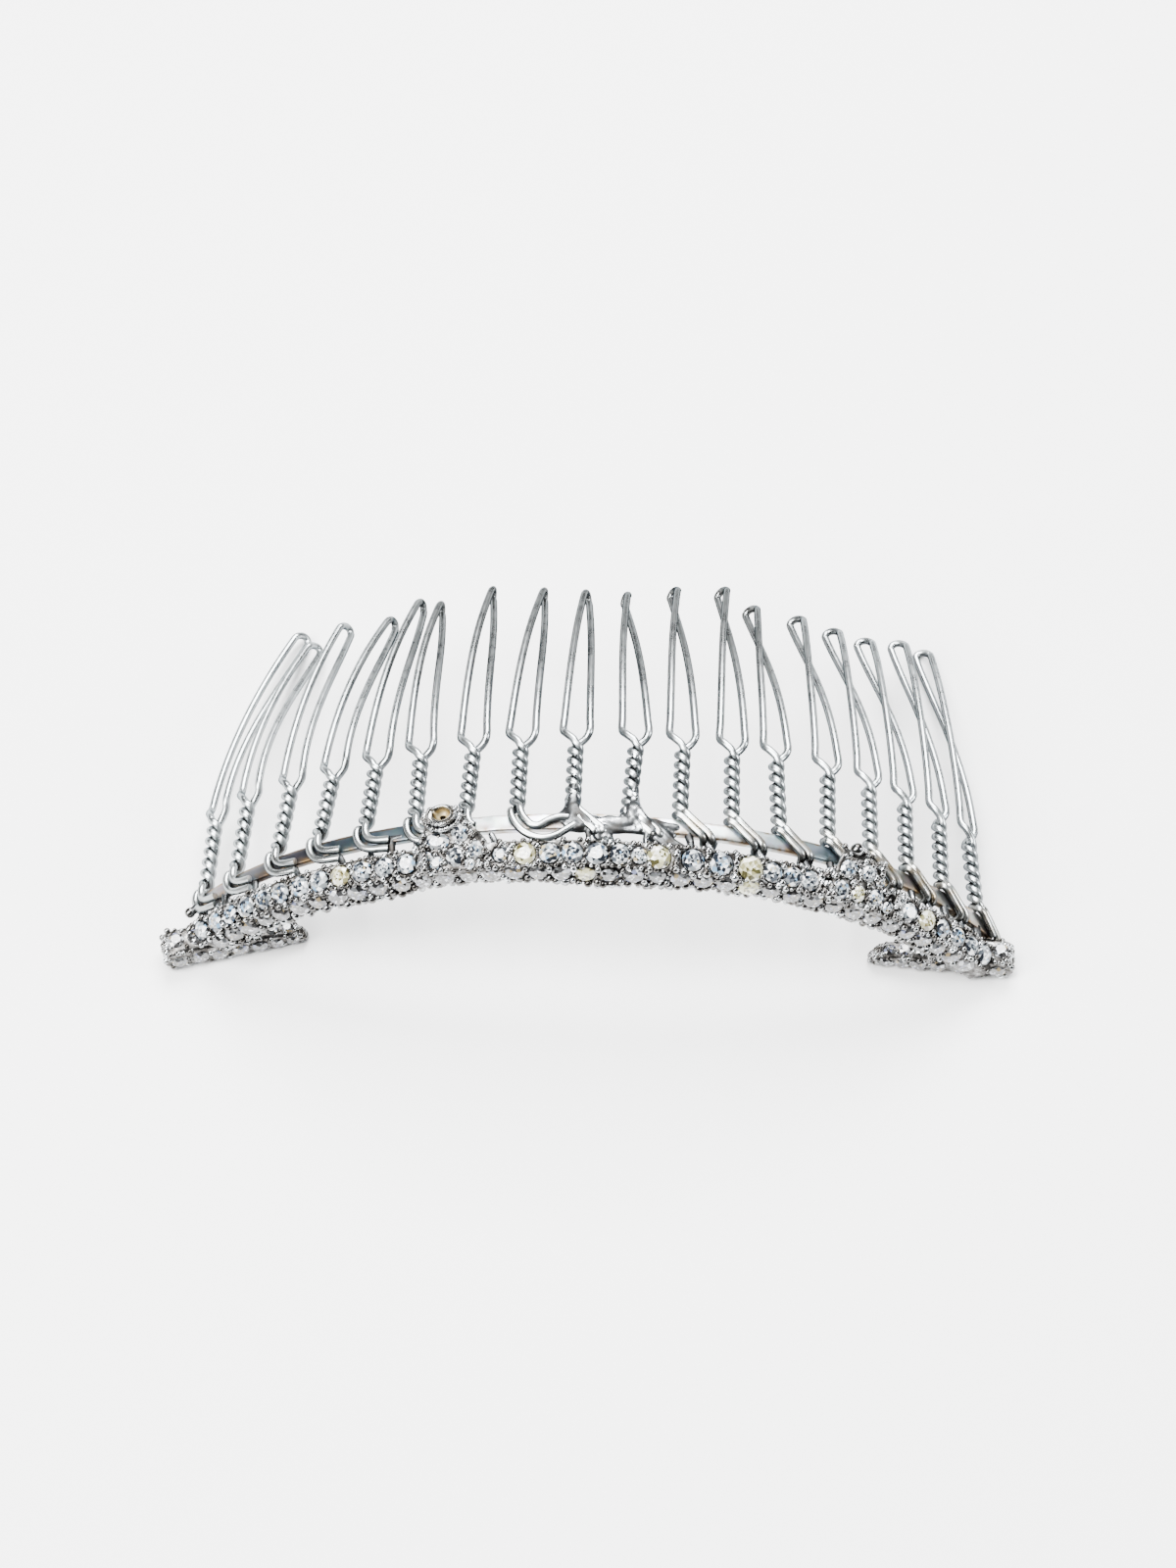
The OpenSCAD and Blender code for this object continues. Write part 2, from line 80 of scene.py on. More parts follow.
def set_sockets(tree, node, sockets):
    """Gives each named socket its plain value, or joins it to an output; a node stands for its first output."""
    for name, value in sockets.items():
        if isinstance(value, bpy.types.Node):
            value = value.outputs[0]
        if isinstance(value, bpy.types.NodeSocket):
            tree.links.new(value, node.inputs[name])
        else:
            node.inputs[name].default_value = value


def new_finish(name, sockets):
    """A material with plain values on its shader's own sockets, given with its node tree and that shader."""
    finish = bpy.data.materials.new(name)
    finish.use_nodes = True
    tree = finish.node_tree
    shader = tree.nodes["Principled BSDF"]
    set_sockets(tree, shader, sockets)
    return finish, tree, shader


bpy.ops.mesh.primitive_plane_add(size=3, location=(0, 0, -0.00002))
floor = bpy.context.object
floor.name = "table_top"
floor.data.materials.append(new_finish("pale_table", {"Base Color": (0.97, 0.97, 0.97, 1), "Roughness": 0.7})[0])
for name, place, size, power, colour in (
        ("back_light", (0.03, 0.3, 0.42), 0.34, 9.8, (1.0, 1.0, 1.0)),
        ("top_light", (-0.19, -0.09, 0.52), 0.28, 7.9, (1.0, 1.0, 1.0)),
        ("left_light", (-0.4, -0.22, 0.34), 0.2, 5.2, (1.0, 0.99, 0.97)),
        ("right_light", (0.42, -0.05, 0.26), 0.15, 2.2, (0.95, 0.98, 1.0))):
    lamp = bpy.data.lights.new(name, "AREA")
    lamp.size = size
    lamp.energy = power
    lamp.color = colour
    holder = new_object(name, lamp)
    holder.location = place
    holder.rotation_euler = (-Vector(place)).to_track_quat("-Z", "Y").to_euler()
surround = bpy.data.worlds.new("dim_surround")
surround.use_nodes = True
set_sockets(surround.node_tree, surround.node_tree.nodes["Background"],
            {"Color": (0.8, 0.84, 0.88, 1), "Strength": 0.12})
bpy.context.scene.world = surround

# ---- Bar ----
# A flat strip of silver bent into an arch, which every tooth is wound on.
# Its face is slate grey with age, and a brown tarnish line runs along its front edge.
MIDDLE_R, END_R, MIDDLE_LEN = 48.0, 37.0, 20.0
TURN_ANGLE = MIDDLE_LEN / MIDDLE_R
END_X = (MIDDLE_R - END_R) * sin(TURN_ANGLE)
END_Z = (MIDDLE_R - END_R) * cos(TURN_ANGLE) - MIDDLE_R
BAR_LEFT, BAR_RIGHT = -38.3, 38.6
SOLDERED = ("frame_metal", "soldered_frame")  # slot and CAD node of every piece of the one soldered body


def arch_frame(s):
    """Point on the line of the teeth at s mm along the arch, with the ways along it and out of it."""
    if abs(s) <= MIDDLE_LEN:
        a = s / MIDDLE_R
        x, z = MIDDLE_R * sin(a), MIDDLE_R * (cos(a) - 1)
    else:
        side = copysign(1, s)
        a = side * (TURN_ANGLE + (abs(s) - MIDDLE_LEN) / END_R)
        x, z = side * END_X + END_R * sin(a), END_Z + END_R * cos(a)
    return Vector((x, 0, z)), Vector((cos(a), 0, -sin(a))), Vector((sin(a), 0, cos(a)))


def on_comb(s, y, r, t=0.0):
    """Place in metres: s along the arch, y towards the teeth, r outwards, t straight along the arch's tangent."""
    p, along, out = arch_frame(s)
    return ARCH_TOP + 0.001 * (p + t * along + Vector((0, y, 0)) + r * out)


def finish_piece(obj, material, slot, *nodes):
    """Gives a finished piece its material, its place on the comb's one body and the CAD nodes it stands for."""
    obj.data.materials.clear()
    obj.data.materials.append(material)
    for face in obj.data.polygons:
        face.material_index = 0
    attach(obj, "root")
    if nodes:
        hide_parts(*nodes)


def new_piece(name, built):
    mesh = bpy.data.meshes.new(name)
    built.to_mesh(mesh)
    built.free()
    return new_object(name, mesh)


def swept_piece(name, stations, section_at):
    """Closed body through the sections at the stations; the UV map holds the place along and around it."""
    built = bmesh.new()
    uv = built.loops.layers.uv.new("UVMap")
    rows = [[built.verts.new(on_comb(s, y, r)) for y, r in section_at(s)] for s in stations]
    count = len(rows[0])
    for i in range(len(rows) - 1):
        for k in range(count):
            j = (k + 1) % count
            face = built.faces.new((rows[i][k], rows[i + 1][k], rows[i + 1][j], rows[i][j]))
            face.smooth = True
            for loop, (at, around) in zip(face.loops, ((i, k), (i + 1, k), (i + 1, k + 1), (i, k + 1))):
                loop[uv].uv = (0.5 + 0.01 * stations[at], around / count)
    built.faces.new(rows[0])
    built.faces.new(list(reversed(rows[-1])))
    bmesh.ops.recalc_face_normals(built, faces=built.faces)
    return new_piece(name, built)


def spread(first, last, step):
    """Even places from the first to the last, about a step apart."""
    count = max(1, round((last - first) / step))
    return [first + (last - first) * i / count for i in range(count + 1)]


def bar_section(s):
    edge = 0.03 * noise.noise(Vector((s * 0.6, 1.7, 0)))
    rise = 0.02 * noise.noise(Vector((s * 0.9, 5.1, 0)))
    top, low, front, rear, corner = 0.25 + rise, -0.45, -2.0 + edge, -0.6 + edge, 0.09
    return [(rear - corner, top), (-1.1, top + 0.01), (-1.5, top + 0.01), (front + corner, top),
            (front + 0.02, top - 0.03), (front, top - corner), (front, low + corner), (front + corner, low),
            (-1.3, low), (rear - corner, low), (rear, low + corner), (rear, top - corner), (rear - 0.02, top - 0.03)]


def add_node(tree, kind, sockets={}, **settings):
    """A node with its settings made and its sockets filled."""
    node = tree.nodes.new(kind)
    for name, value in settings.items():
        setattr(node, name, value)
    set_sockets(tree, node, sockets)
    return node


def tones(tree, amount, stops, smooth="LINEAR"):
    """Colour that runs through the stops, each a place and a colour or a grey, as the amount goes from 0 to 1."""
    node = add_node(tree, "ShaderNodeValToRGB", {"Fac": amount})
    ramp = node.color_ramp
    ramp.interpolation = smooth
    while len(ramp.elements) > 1:
        ramp.elements.remove(ramp.elements[-1])
    for k, (place, colour) in enumerate(stops):
        stop = ramp.elements.new(place) if k else ramp.elements[0]
        stop.position = place
        stop.color = (*colour, 1) if isinstance(colour, tuple) else (colour, colour, colour, 1)
    return node


def cloudy(tree, scale, detail, roughness=0.5):
    """Uneven clouds that stay fixed on the piece; the outputs are Fac and Color."""
    place = add_node(tree, "ShaderNodeTexCoord").outputs["Object"]
    return add_node(tree, "ShaderNodeTexNoise", {
        "Vector": place, "Scale": scale, "Detail": detail, "Roughness": roughness}).outputs


def mixed(tree, amount, under, over, way="MIX"):
    """Colour between the one under and the one over, by the amount."""
    return add_node(tree, "ShaderNodeMix", {"Factor": amount, "A": under, "B": over},
                    data_type="RGBA", blend_type=way).outputs["Result"]


def product(tree, one, other):
    return add_node(tree, "ShaderNodeMath", {0: one, 1: other}, operation="MULTIPLY")


def ranged(tree, value, low, high, start=0.0, end=1.0, way="LINEAR"):
    """Goes from low to high while the value goes from start to end."""
    return add_node(tree, "ShaderNodeMapRange", {
        "Value": value, "From Min": start, "From Max": end, "To Min": low, "To Max": high},
        interpolation_type=way)


def bumps(tree, height, strength, distance):
    return add_node(tree, "ShaderNodeBump", {"Strength": strength, "Distance": distance, "Height": height})


bar = swept_piece("bar", spread(BAR_LEFT, BAR_RIGHT, 0.4), bar_section)
bar_silver, tree, shader = new_finish("slate_silver_bar", {"Metallic": 1.0})
uv_map = add_node(tree, "ShaderNodeUVMap", uv_map="UVMap")
uv_parts = add_node(tree, "ShaderNodeSeparateXYZ", {"Vector": uv_map}).outputs
age = tones(tree, uv_parts["X"], [
    (0.12, (0.26, 0.26, 0.27)), (0.2, (0.12, 0.12, 0.135)), (0.25, (0.1, 0.1, 0.12)), (0.28, (0.13, 0.17, 0.2)),
    (0.36, (0.17, 0.23, 0.27)), (0.4, (0.84, 0.88, 0.9)), (0.52, (0.95, 0.97, 0.98)), (0.6, (0.8, 0.86, 0.89)),
    (0.66, (0.46, 0.54, 0.6)), (0.7, (0.2, 0.26, 0.3)), (0.76, (0.36, 0.35, 0.33)), (0.88, (0.34, 0.33, 0.32))])
patches = cloudy(tree, 900, 6)
edge_line = tones(tree, uv_parts["Y"], [
    (0.0, 1.0), (0.022, 0.8), (0.035, 0.0), (0.12, 0.0), (0.22, 0.9), (0.36, 1.0), (0.62, 0.3), (0.72, 0.0),
    (0.86, 0.3), (0.95, 0.9)])
edge_patch = product(tree, edge_line, tones(tree, patches["Fac"], [(0.38, 0.0), (0.62, 1.0)]))
mottled = mixed(tree, 0.35, age, patches["Color"], "MULTIPLY")
set_sockets(tree, shader, {
    "Base Color": mixed(tree, edge_patch, mottled, (0.2, 0.13, 0.06, 1)),
    "Roughness": ranged(tree, patches["Fac"], 0.22, 0.5),
    "Normal": bumps(tree, cloudy(tree, 2600, 3)["Fac"], 0.25, 0.00004)})
finish_piece(bar, bar_silver, *SOLDERED)

# ---- Teeth ----
# Each tooth is one length of round silver wire doubled into a hairpin: the loop is turned about its own line,
# the shank is a tight left-handed twist, and both ends cross the bar side by side and hook under it.
# Painted shade darkens the wires' flanks, the hollows of the twist and the far legs towards the tips, so that their
# tops stay bright.
PITCH = 4.3
WIRE_D = 0.64
WIRE_SIDES = 14
STRAND_GAP = WIRE_D / 2 + 0.06
SHANK, SHANK_FOOT = 6.25, 0.35
FRONT_TURNS, BACK_TURNS, STEPS_A_TURN = 3.0, 3.25, 18
SHOULDER_HALF, TIP_HALF, SHOULDER_AT = 1.1, 0.72, 0.07
LOWEST_LINE = 0.00033  # the wire's middle line stays this far above the table
# Columns: shift along the arch, lean in degrees, sideways at the tip, inward bend, loop length, turn of the tip,
# length of the shank beyond the usual, route of the ends
TEETH = [
    (-0.9, 2, 1.71, 5.92, 22.1, 95, 0.45, 1), (-0.9, 5, -0.8, 6.3, 20.6, 90, 0.3, 1),
    (-0.3, 7, -0.1, 5.2, 20.4, 90, -0.2, 1), (-0.3, 8, 0.5, 6.3, 20.5, 100, -0.5, 1),
    (-0.2, 5, 0.3, 5.6, 21.1, 99, -0.5, 1), (-0.1, 1, -1.0, 4.9, 19.6, 106, -0.3, 1),
    (-0.1, 3, -0.4, 5.1, 20.6, 103, -0.3, 4), (-0.2, 1, 0.6, 5.6, 20.3, 97, -0.2, 3),
    (0.0, 1, 0.4, 5.6, 19.9, 80, -0.1, 5), (0.2, 5, -0.6, 5.7, 19.8, 102, 0.0, 5),
    (0.1, 2, 0.2, 5.2, 20.5, 110, 0.0, 0), (0.1, 1, 0.7, 4.6, 20.8, 113, 0.1, 0),
    (-0.1, -1, 0.2, 5.3, 19.8, 118, 0.3, 0), (0.0, 2, 0.3, 5.1, 20.0, 123, 0.2, 0),
    (-0.1, 1, 0.4, 4.9, 19.9, 125, 0.2, 0), (-0.6, 2, 0.4, 4.5, 20.3, 125, 0.0, 0),
    (-0.7, 2, 0.75, 4.0, 21.8, 120, 0.0, 0), (0.0, -4, 1.09, 4.09, 23.1, 110, 0.0, 2)]
# Bends of the two ends from the foot of the twist: along, across, outwards.
# Those of the right half cross the bar aslant and hook under it.
SLANT_FRONT = [
    (0.22, 0.1, 0.42), (0.42, -0.16, 0.56), (0.72, -0.5, 0.6), (1.45, -1.18, 0.6), (2.16, -1.8, 0.6),
    (2.42, -2.14, 0.52), (2.58, -2.32, 0.25), (2.7, -2.38, -0.25), (2.84, -2.28, -0.62), (3.0, -1.9, -0.8),
    (3.1, -1.5, -0.8), (3.18, -1.1, -0.8)]
SLANT_BACK = [
    (-0.3, -0.2, 0.36), (-0.22, -0.36, 0.52), (0.02, -0.56, 0.6), (0.36, -0.86, 0.6), (1.0, -1.52, 0.6),
    (1.62, -2.1, 0.56), (1.84, -2.32, 0.3), (1.98, -2.38, -0.25), (2.12, -2.28, -0.62), (2.28, -1.9, -0.8),
    (2.38, -1.5, -0.8), (2.46, -1.1, -0.8)]
# Those of the left half sweep round along the bar's front.
SWEEP_FRONT = [
    (0.22, 0.1, 0.46), (0.3, -0.3, 0.6), (0.34, -0.85, 0.62), (0.52, -1.3, 0.61), (0.86, -1.62, 0.6),
    (1.35, -1.82, 0.6), (2.0, -1.92, 0.6), (2.5, -1.96, 0.58)]
SWEEP_BACK = [
    (-0.4, -0.28, 0.36), (-0.44, -0.5, 0.54), (-0.46, -0.95, 0.62), (-0.34, -1.5, 0.61), (-0.06, -2.0, 0.58),
    (0.38, -2.36, 0.53), (0.95, -2.55, 0.5), (1.6, -2.62, 0.46), (2.4, -2.66, 0.38)]
# The eighth tooth's run on in a long hook into the solder of the ninth.
HOOK_FRONT = [
    (0.22, 0.1, 0.46), (0.34, -0.3, 0.6), (0.5, -0.85, 0.62), (0.86, -1.4, 0.61), (1.3, -1.85, 0.6),
    (1.9, -1.95, 0.6), (2.6, -1.5, 0.6), (3.4, -1.2, 0.6), (4.2, -1.15, 0.52)]
HOOK_BACK = [
    (-0.4, -0.28, 0.36), (-0.4, -0.5, 0.54), (-0.3, -1.05, 0.62), (0.05, -1.75, 0.6), (0.6, -2.4, 0.56),
    (1.4, -2.9, 0.52), (2.3, -3.08, 0.5), (3.2, -2.85, 0.46), (4.0, -2.3, 0.44), (4.7, -1.75, 0.4)]
# The last tooth's end upon the bar, the seventh's stop early under the left cluster,
# and those of the ninth and tenth are sunk in solder.
ROUTES = [(SLANT_FRONT, SLANT_BACK), (SWEEP_FRONT, SWEEP_BACK), (SLANT_FRONT[:6], SLANT_BACK[:6]),
          (HOOK_FRONT, HOOK_BACK), (SWEEP_FRONT[:5], SWEEP_BACK[:6]),
          [[(x, y, min(r, 0.4)) for x, y, r in path] for path in (SLANT_FRONT, SLANT_BACK)]]


def limited(value, low=0.0, high=1.0):
    return max(low, min(high, value))


def smooth_run(points, parts):
    """Points of an even curve through the given ones."""
    run = []
    for i in range(len(points) - 1):
        a, b = Vector(points[max(i - 1, 0)]), Vector(points[i])
        c, d = Vector(points[i + 1]), Vector(points[min(i + 2, len(points) - 1)])
        for k in range(parts):
            u = k / parts
            run.append(0.5 * ((2 * b) + (c - a) * u + (2 * a - 5 * b + 4 * c - d) * u * u
                              + (3 * b - a - 3 * c + d) * u ** 3))
    run.append(Vector(points[-1]))
    return run


def tooth_base(i):
    return (i - 8.5) * PITCH + TEETH[i][0]


def tooth_run(i):
    """The wire's middle line from the end of one tail, up its strand, round the loop and down the other."""
    _, lean, side, drop, reach, turn, longer, route = TEETH[i]
    top = SHANK + longer
    slope = tan(radians(lean))

    def strand(front):
        turns = FRONT_TURNS if front else BACK_TURNS
        steps = round(turns * STEPS_A_TURN)
        twist = []
        for k in range(steps + 1):
            below = turns * (1 - k / steps)
            a = radians(90 if front else 270) - 2 * pi * below
            y = top - (top - SHANK_FOOT) / FRONT_TURNS * below
            twist.append(Vector((STRAND_GAP * cos(a) + y * slope, y, STRAND_GAP * sin(a))))
        tail = ROUTES[route][0 if front else 1]
        run = smooth_run(list(reversed(tail)) + [tuple(twist[0])], 5)
        return run[:-1] + twist

    def loop_point(v, half, angle, way):
        bend = drop * (3 * v * v - v ** 3) / 2
        a = pi - angle
        return (top * slope + side * v + way * half * cos(a), top + reach * v,
                -bend + way * half * sin(a))

    def leg(way):
        marks = [loop_point(SHOULDER_AT * part, half, radians(angle), way)
                 for part, half, angle in ((0.3, 0.5, 62), (0.72, 0.88, 22), (1.15, SHOULDER_HALF, 0))]
        for k in range(1, 15):
            v = SHOULDER_AT * 1.15 + (1 - TIP_HALF / reach - SHOULDER_AT * 1.15) * k / 14
            u = max(v - SHOULDER_AT, 0) / (1 - SHOULDER_AT)
            half = TIP_HALF + (SHOULDER_HALF - TIP_HALF) * (1 - u) ** 1.7
            marks.append(loop_point(v, half, radians(turn) * u * u, way))
        return marks

    tip = [loop_point(1 - TIP_HALF * (1 - sin(a)) / reach, TIP_HALF * cos(a), radians(turn), 1)
           for a in [pi * k / 8 for k in range(1, 8)]]
    up, down = strand(True), strand(False)
    middle = smooth_run([tuple(up[-1])] + leg(1) + tip + list(reversed(leg(-1))) + [tuple(down[-1])], 3)
    s = tooth_base(i)
    placed = []
    for p in up[:-1] + middle + list(reversed(down))[1:]:
        placed.append(on_comb(s + p.x, p.y, p.z) if p.y < -0.2 else on_comb(s, p.y, p.z, p.x))
        placed[-1].z = max(placed[-1].z, LOWEST_LINE)
    return placed


def new_shape_tree(name, inputs, output):
    """A Geometry Nodes tree: its inputs' sockets, and the identifiers that a modifier knows them by."""
    tree = bpy.data.node_groups.new(name, "GeometryNodeTree")
    identifiers = {label: tree.interface.new_socket(label, in_out="INPUT", socket_type="NodeSocket" + kind).identifier
                   for label, kind in inputs.items()}
    tree.interface.new_socket(output, in_out="OUTPUT", socket_type="NodeSocketGeometry")
    return tree, tree.nodes.new("NodeGroupInput").outputs, identifiers


def make_wire_tree():
    """Round wire along each line of the mesh: its radius, number of sides and material are inputs."""
    tree, given, identifiers = new_shape_tree("round_wire", {
        "Lines": "Geometry", "Wire radius": "Float", "Sides": "Int", "Wire metal": "Material"}, "Wire")
    curve = add_node(tree, "GeometryNodeMeshToCurve", {"Mesh": given["Lines"]})
    ring = add_node(tree, "GeometryNodeCurvePrimitiveCircle", {
        "Radius": given["Wire radius"], "Resolution": given["Sides"]})
    tube = add_node(tree, "GeometryNodeCurveToMesh", {"Curve": curve, "Profile Curve": ring, "Fill Caps": True})
    shade = add_node(tree, "GeometryNodeSetShadeSmooth", {"Geometry": tube})
    realized = add_node(tree, "GeometryNodeRealizeInstances", {"Geometry": shade})
    coat = add_node(tree, "GeometryNodeSetMaterial", {"Geometry": realized, "Material": given["Wire metal"]})
    add_node(tree, "NodeGroupOutput", {"Wire": coat})
    return tree, identifiers


def plain_mesh(obj, name):
    """What an object's modifiers make of it, as a mesh of its own."""
    bpy.context.view_layer.update()
    mesh = bpy.data.meshes.new_from_object(obj.evaluated_get(bpy.context.evaluated_depsgraph_get()))
    mesh.name = name
    return mesh


def from_tree(name, base_mesh, shape_tree, values):
    """Runs a Geometry Nodes tree on a base mesh and keeps the result as one plain mesh."""
    tree, identifiers = shape_tree
    holder = new_object(name, base_mesh)
    modifier = holder.modifiers.new("made_by_nodes", "NODES")
    modifier.node_group = tree
    for label, value in values.items():
        modifier[identifiers[label]] = value
    made = plain_mesh(holder, name)
    holder.modifiers.remove(modifier)
    holder.data = made
    return holder


def lines_mesh(name, runs):
    mesh = bpy.data.meshes.new(name)
    points, edges = [], []
    for run in runs:
        first = len(points)
        points += [tuple(p) for p in run]
        edges += [(first + k, first + k + 1) for k in range(len(run) - 1)]
    mesh.from_pydata(points, edges, [])
    return mesh


def mark(tree, name, output="Fac"):
    """What a piece's own points or faces say under the name."""
    return add_node(tree, "ShaderNodeAttribute", attribute_name=name).outputs[output]


wire_silver, tree, shader = new_finish("bright_silver_wire", {
    "Metallic": 1.0, "Specular Tint": (0.14, 0.155, 0.17, 1)})
drawn = cloudy(tree, 700, 2)["Fac"]
wire_tone = tones(tree, drawn, [(0.3, (0.5, 0.53, 0.54)), (0.55, (0.6, 0.64, 0.65)), (0.8, (0.7, 0.74, 0.75))])
tarnished = mixed(tree, mark(tree, "tarnish"), wire_tone, (0.44, 0.34, 0.2, 1))
# Painted shade: where the wire's outward way turns from straight up to its sides, its colour goes towards near black,
# as strongly as each point's flank shade strength says.
facing = add_node(tree, "ShaderNodeVectorMath", {0: mark(tree, "outward", "Vector")}, operation="NORMALIZE")
facing_up = add_node(tree, "ShaderNodeSeparateXYZ", {"Vector": facing}).outputs["Z"]
flank_shade = ranged(tree, facing_up, 0.0, 1.0, 0.95, 0.42, "SMOOTHSTEP")
flank_shade_amount = product(tree, flank_shade, mark(tree, "flank_darkness"))
flank_shaded = mixed(tree, flank_shade_amount, tarnished, (0.05, 0.056, 0.06, 1))
# Painted shade: the hollows of the twist and the far legs towards the tips are mixed towards near black.
set_sockets(tree, shader, {
    "Base Color": mixed(tree, mark(tree, "crevice"), flank_shaded, (0.07, 0.066, 0.06, 1)),
    "Roughness": ranged(tree, drawn, 0.2, 0.36)})

teeth_lines = lines_mesh("teeth_lines", [tooth_run(i) for i in range(len(TEETH))])
teeth = from_tree("teeth", teeth_lines, make_wire_tree(), {
    "Wire radius": WIRE_D / 2 * 0.001, "Sides": WIRE_SIDES, "Wire metal": wire_silver})
marks = {"tarnish": "FLOAT", "crevice": "FLOAT", "flank_darkness": "FLOAT", "outward": "FLOAT_VECTOR"}
for name, kind in marks.items():
    teeth.data.attributes.new(name, kind, "POINT")
stain, hollow_and_far_shade_layer, flank_shade_layer, outwards = [teeth.data.attributes[name] for name in marks]
shanks = []
for i, tooth in enumerate(TEETH):
    p, along, out = arch_frame(tooth_base(i))
    shanks.append((p, along, tan(radians(tooth[1])), SHANK + tooth[6]))
for i, v in enumerate(teeth.data.vertices):
    q = (v.co - ARCH_TOP) * 1000
    away = min((q - p - q.y * (Vector((0, 1, 0)) + slope * along)).length if 0.1 < q.y < top + 0.3 else 9
               for p, along, slope, top in shanks)
    # Painted shade in the hollows of the twist, where the strands meet, and on the far legs towards the tips of the
    # middle teeth.
    far = limited((q.y - 12) / 8) * limited((24 - abs(q.x)) / 10)
    hollow_and_far_shade_layer.data[i].value = max(0.55 * far, min(0.8, (0.36 - away) / 0.14))
    # Strength of the painted flank shade: weaker on the shanks and towards the left end.
    flank_shade_layer.data[i].value = limited(0.95 + (q.x + 20) / 20, 0.5, 0.95) * (0.8 if away < 1 else 0.95)
    outwards.data[i].vector = v.normal
    low = limited((1.3 - q.y) / 2.2)
    right = 0.1 + 0.25 * limited(q.x / 8) + 0.25 * exp(-((q.x - 25) / 6) ** 2)
    grain = 0.5 + 0.9 * noise.noise(v.co * 1600)
    stain.data[i].value = limited(low * right * grain * 1.6)
finish_piece(teeth, wire_silver, "wire", *["tooth_%02d" % (i + 1) for i in range(len(TEETH))])

# ---- Band ----
# A cast silver band soldered in front of the bar, with two rows of round pits for the stones:
# one row faces up and the other faces the front. Its metal has gone grey and brown between the stones.
RIDGE_Y, RIDGE_R = -5.15, -0.26
UPPER_TILT, FRONT_TILT = radians(22), radians(80)
FACE_HALF = 0.95
STONE_PITCH, STONE_R = 1.95, 0.86
BAND_END = 38.6


def band_face(tilt, way):
    """One face of the band beside its ridge: its row's middle line, the way down it and the way out of it."""
    down, out = (-cos(tilt), -sin(tilt)), (-sin(tilt), cos(tilt))
    return (RIDGE_Y + way * FACE_HALF * down[0], RIDGE_R + way * FACE_HALF * down[1]), down, out


UPPER_FACE, FRONT_FACE = band_face(UPPER_TILT, -1), band_face(FRONT_TILT, 1)
# Upper stones stand evenly apart, but for the larger ones about the middle: number, place along the arch, radius
UPPER_STONES = {i: (i * STONE_PITCH, STONE_R) for i in range(-19, 20)}
UPPER_STONES.update({
    -4: (-7.85, 0.62), -2: (-3.85, 0.82), -1: (-2.05, 0.88), 0: (-0.1, 0.94), 1: (1.75, 0.84), 2: (3.3, 0.66),
    3: (4.85, 1.0), 4: (7.6, 0.92), 5: (9.9, 1.02), 6: (12.35, 1.02), 7: (14.3, 0.8), 8: (16.0, 0.84)})
FRONT_STONES = {i: ((i + 0.5) * STONE_PITCH, STONE_R * 0.97) for i in range(-19, 19)}


def on_face(face, w, lift, shift=0.0):
    """Place across the comb: w mm down a face from its row's line, lifted out of it and shifted to the back."""
    middle, down, out = face
    return middle[0] + w * down[0] + lift * out[0] + shift, middle[1] + w * down[1] + lift * out[1]


def pit_depth(s, w, stones):
    """How deep the band's face lies below its rim, w mm across from the row's line."""
    place, radius = min(stones.values(), key=lambda stone: abs(s - stone[0]))
    away = hypot(s - place, w) * STONE_R / radius
    return 0.16 * limited((0.92 - away) / 0.14) + 0.5 * max(0.0, 1 - (away / 0.85) ** 2)


def edge_in(s):
    """How far the band's lower border wanders inwards from its even place."""
    marks = ((-39, 0.3), (-26, 0.3), (-21.5, 0.1), (-18, 0.1), (-14, 0.5), (-9, 0.6), (-4, 0.2), (0, -0.2), (3, 0.0),
             (6, 0.1), (8, 0.35), (18, 0.5), (25, 0.45), (39, 0.3))
    for (s0, y0), (s1, y1) in zip(marks, marks[1:]):
        if s <= s1:
            return y0 + (y1 - y0) * max(0.0, s - s0) / (s1 - s0)
    return marks[-1][1]


def face_shift(face, s, w):
    """The front face follows the wandering border, more and more towards its lower edge."""
    return edge_in(s) * (w + 0.93) / 1.93 if face is FRONT_FACE else 0.0


def band_section(s):
    wander = edge_in(s)
    points = [(-3.1, -2.0), (-3.1, 0.2), (-3.25, 0.38)]
    for face, stones, first, last in ((UPPER_FACE, UPPER_STONES, -1.0, 0.93), (FRONT_FACE, FRONT_STONES, -0.93, 1.0)):
        for w in [first + (last - first) * k / 14 for k in range(15)]:
            depth = pit_depth(s, w, stones) - 0.05 * noise.noise(Vector((s * 1.3, w * 1.3, face[0][0])))
            points.append(on_face(face, w, -depth, face_shift(face, s, w)))
    return points + [(-5.3 + wander, -2.42), (-4.6 + wander, -2.5), (-3.5, -2.45)]


band = swept_piece("stone_band", spread(-BAND_END, BAND_END, 0.13), band_section)
worn_silver, tree, shader = new_finish("worn_grey_silver", {"Metallic": 1.0})
wear = cloudy(tree, 1100, 7, 0.65)["Fac"]
set_sockets(tree, shader, {
    "Base Color": tones(tree, wear, [
        (0.34, (0.015, 0.014, 0.013)), (0.44, (0.045, 0.042, 0.039)), (0.54, (0.13, 0.125, 0.12)),
        (0.64, 0.32), (0.76, (0.68, 0.7, 0.72))]),
    "Roughness": ranged(tree, wear, 0.45, 0.15),
    "Normal": bumps(tree, wear, 0.6, 0.00012)})
finish_piece(band, worn_silver, *SOLDERED)

# ---- Feet ----
# The band's two ends turn back inwards under the arch as tapering stone-set bars, which the comb lies on.
# The left one has a pointed inner end, and the right one ends outside in a round knob.
FOOT_LEN, FOOT_OUTER, FOOT_INNER, FOOT_POINT = 12.1, 2.6, 1.5, 1.4
FEET = {"left_foot": (1000 * ARCH_TOP + Vector((-36.05, -6.5, -17.5)), 1, radians(16)),
        "right_foot": (1000 * ARCH_TOP + Vector((35.75, -4.8, -17.5)), -1, radians(-5))}


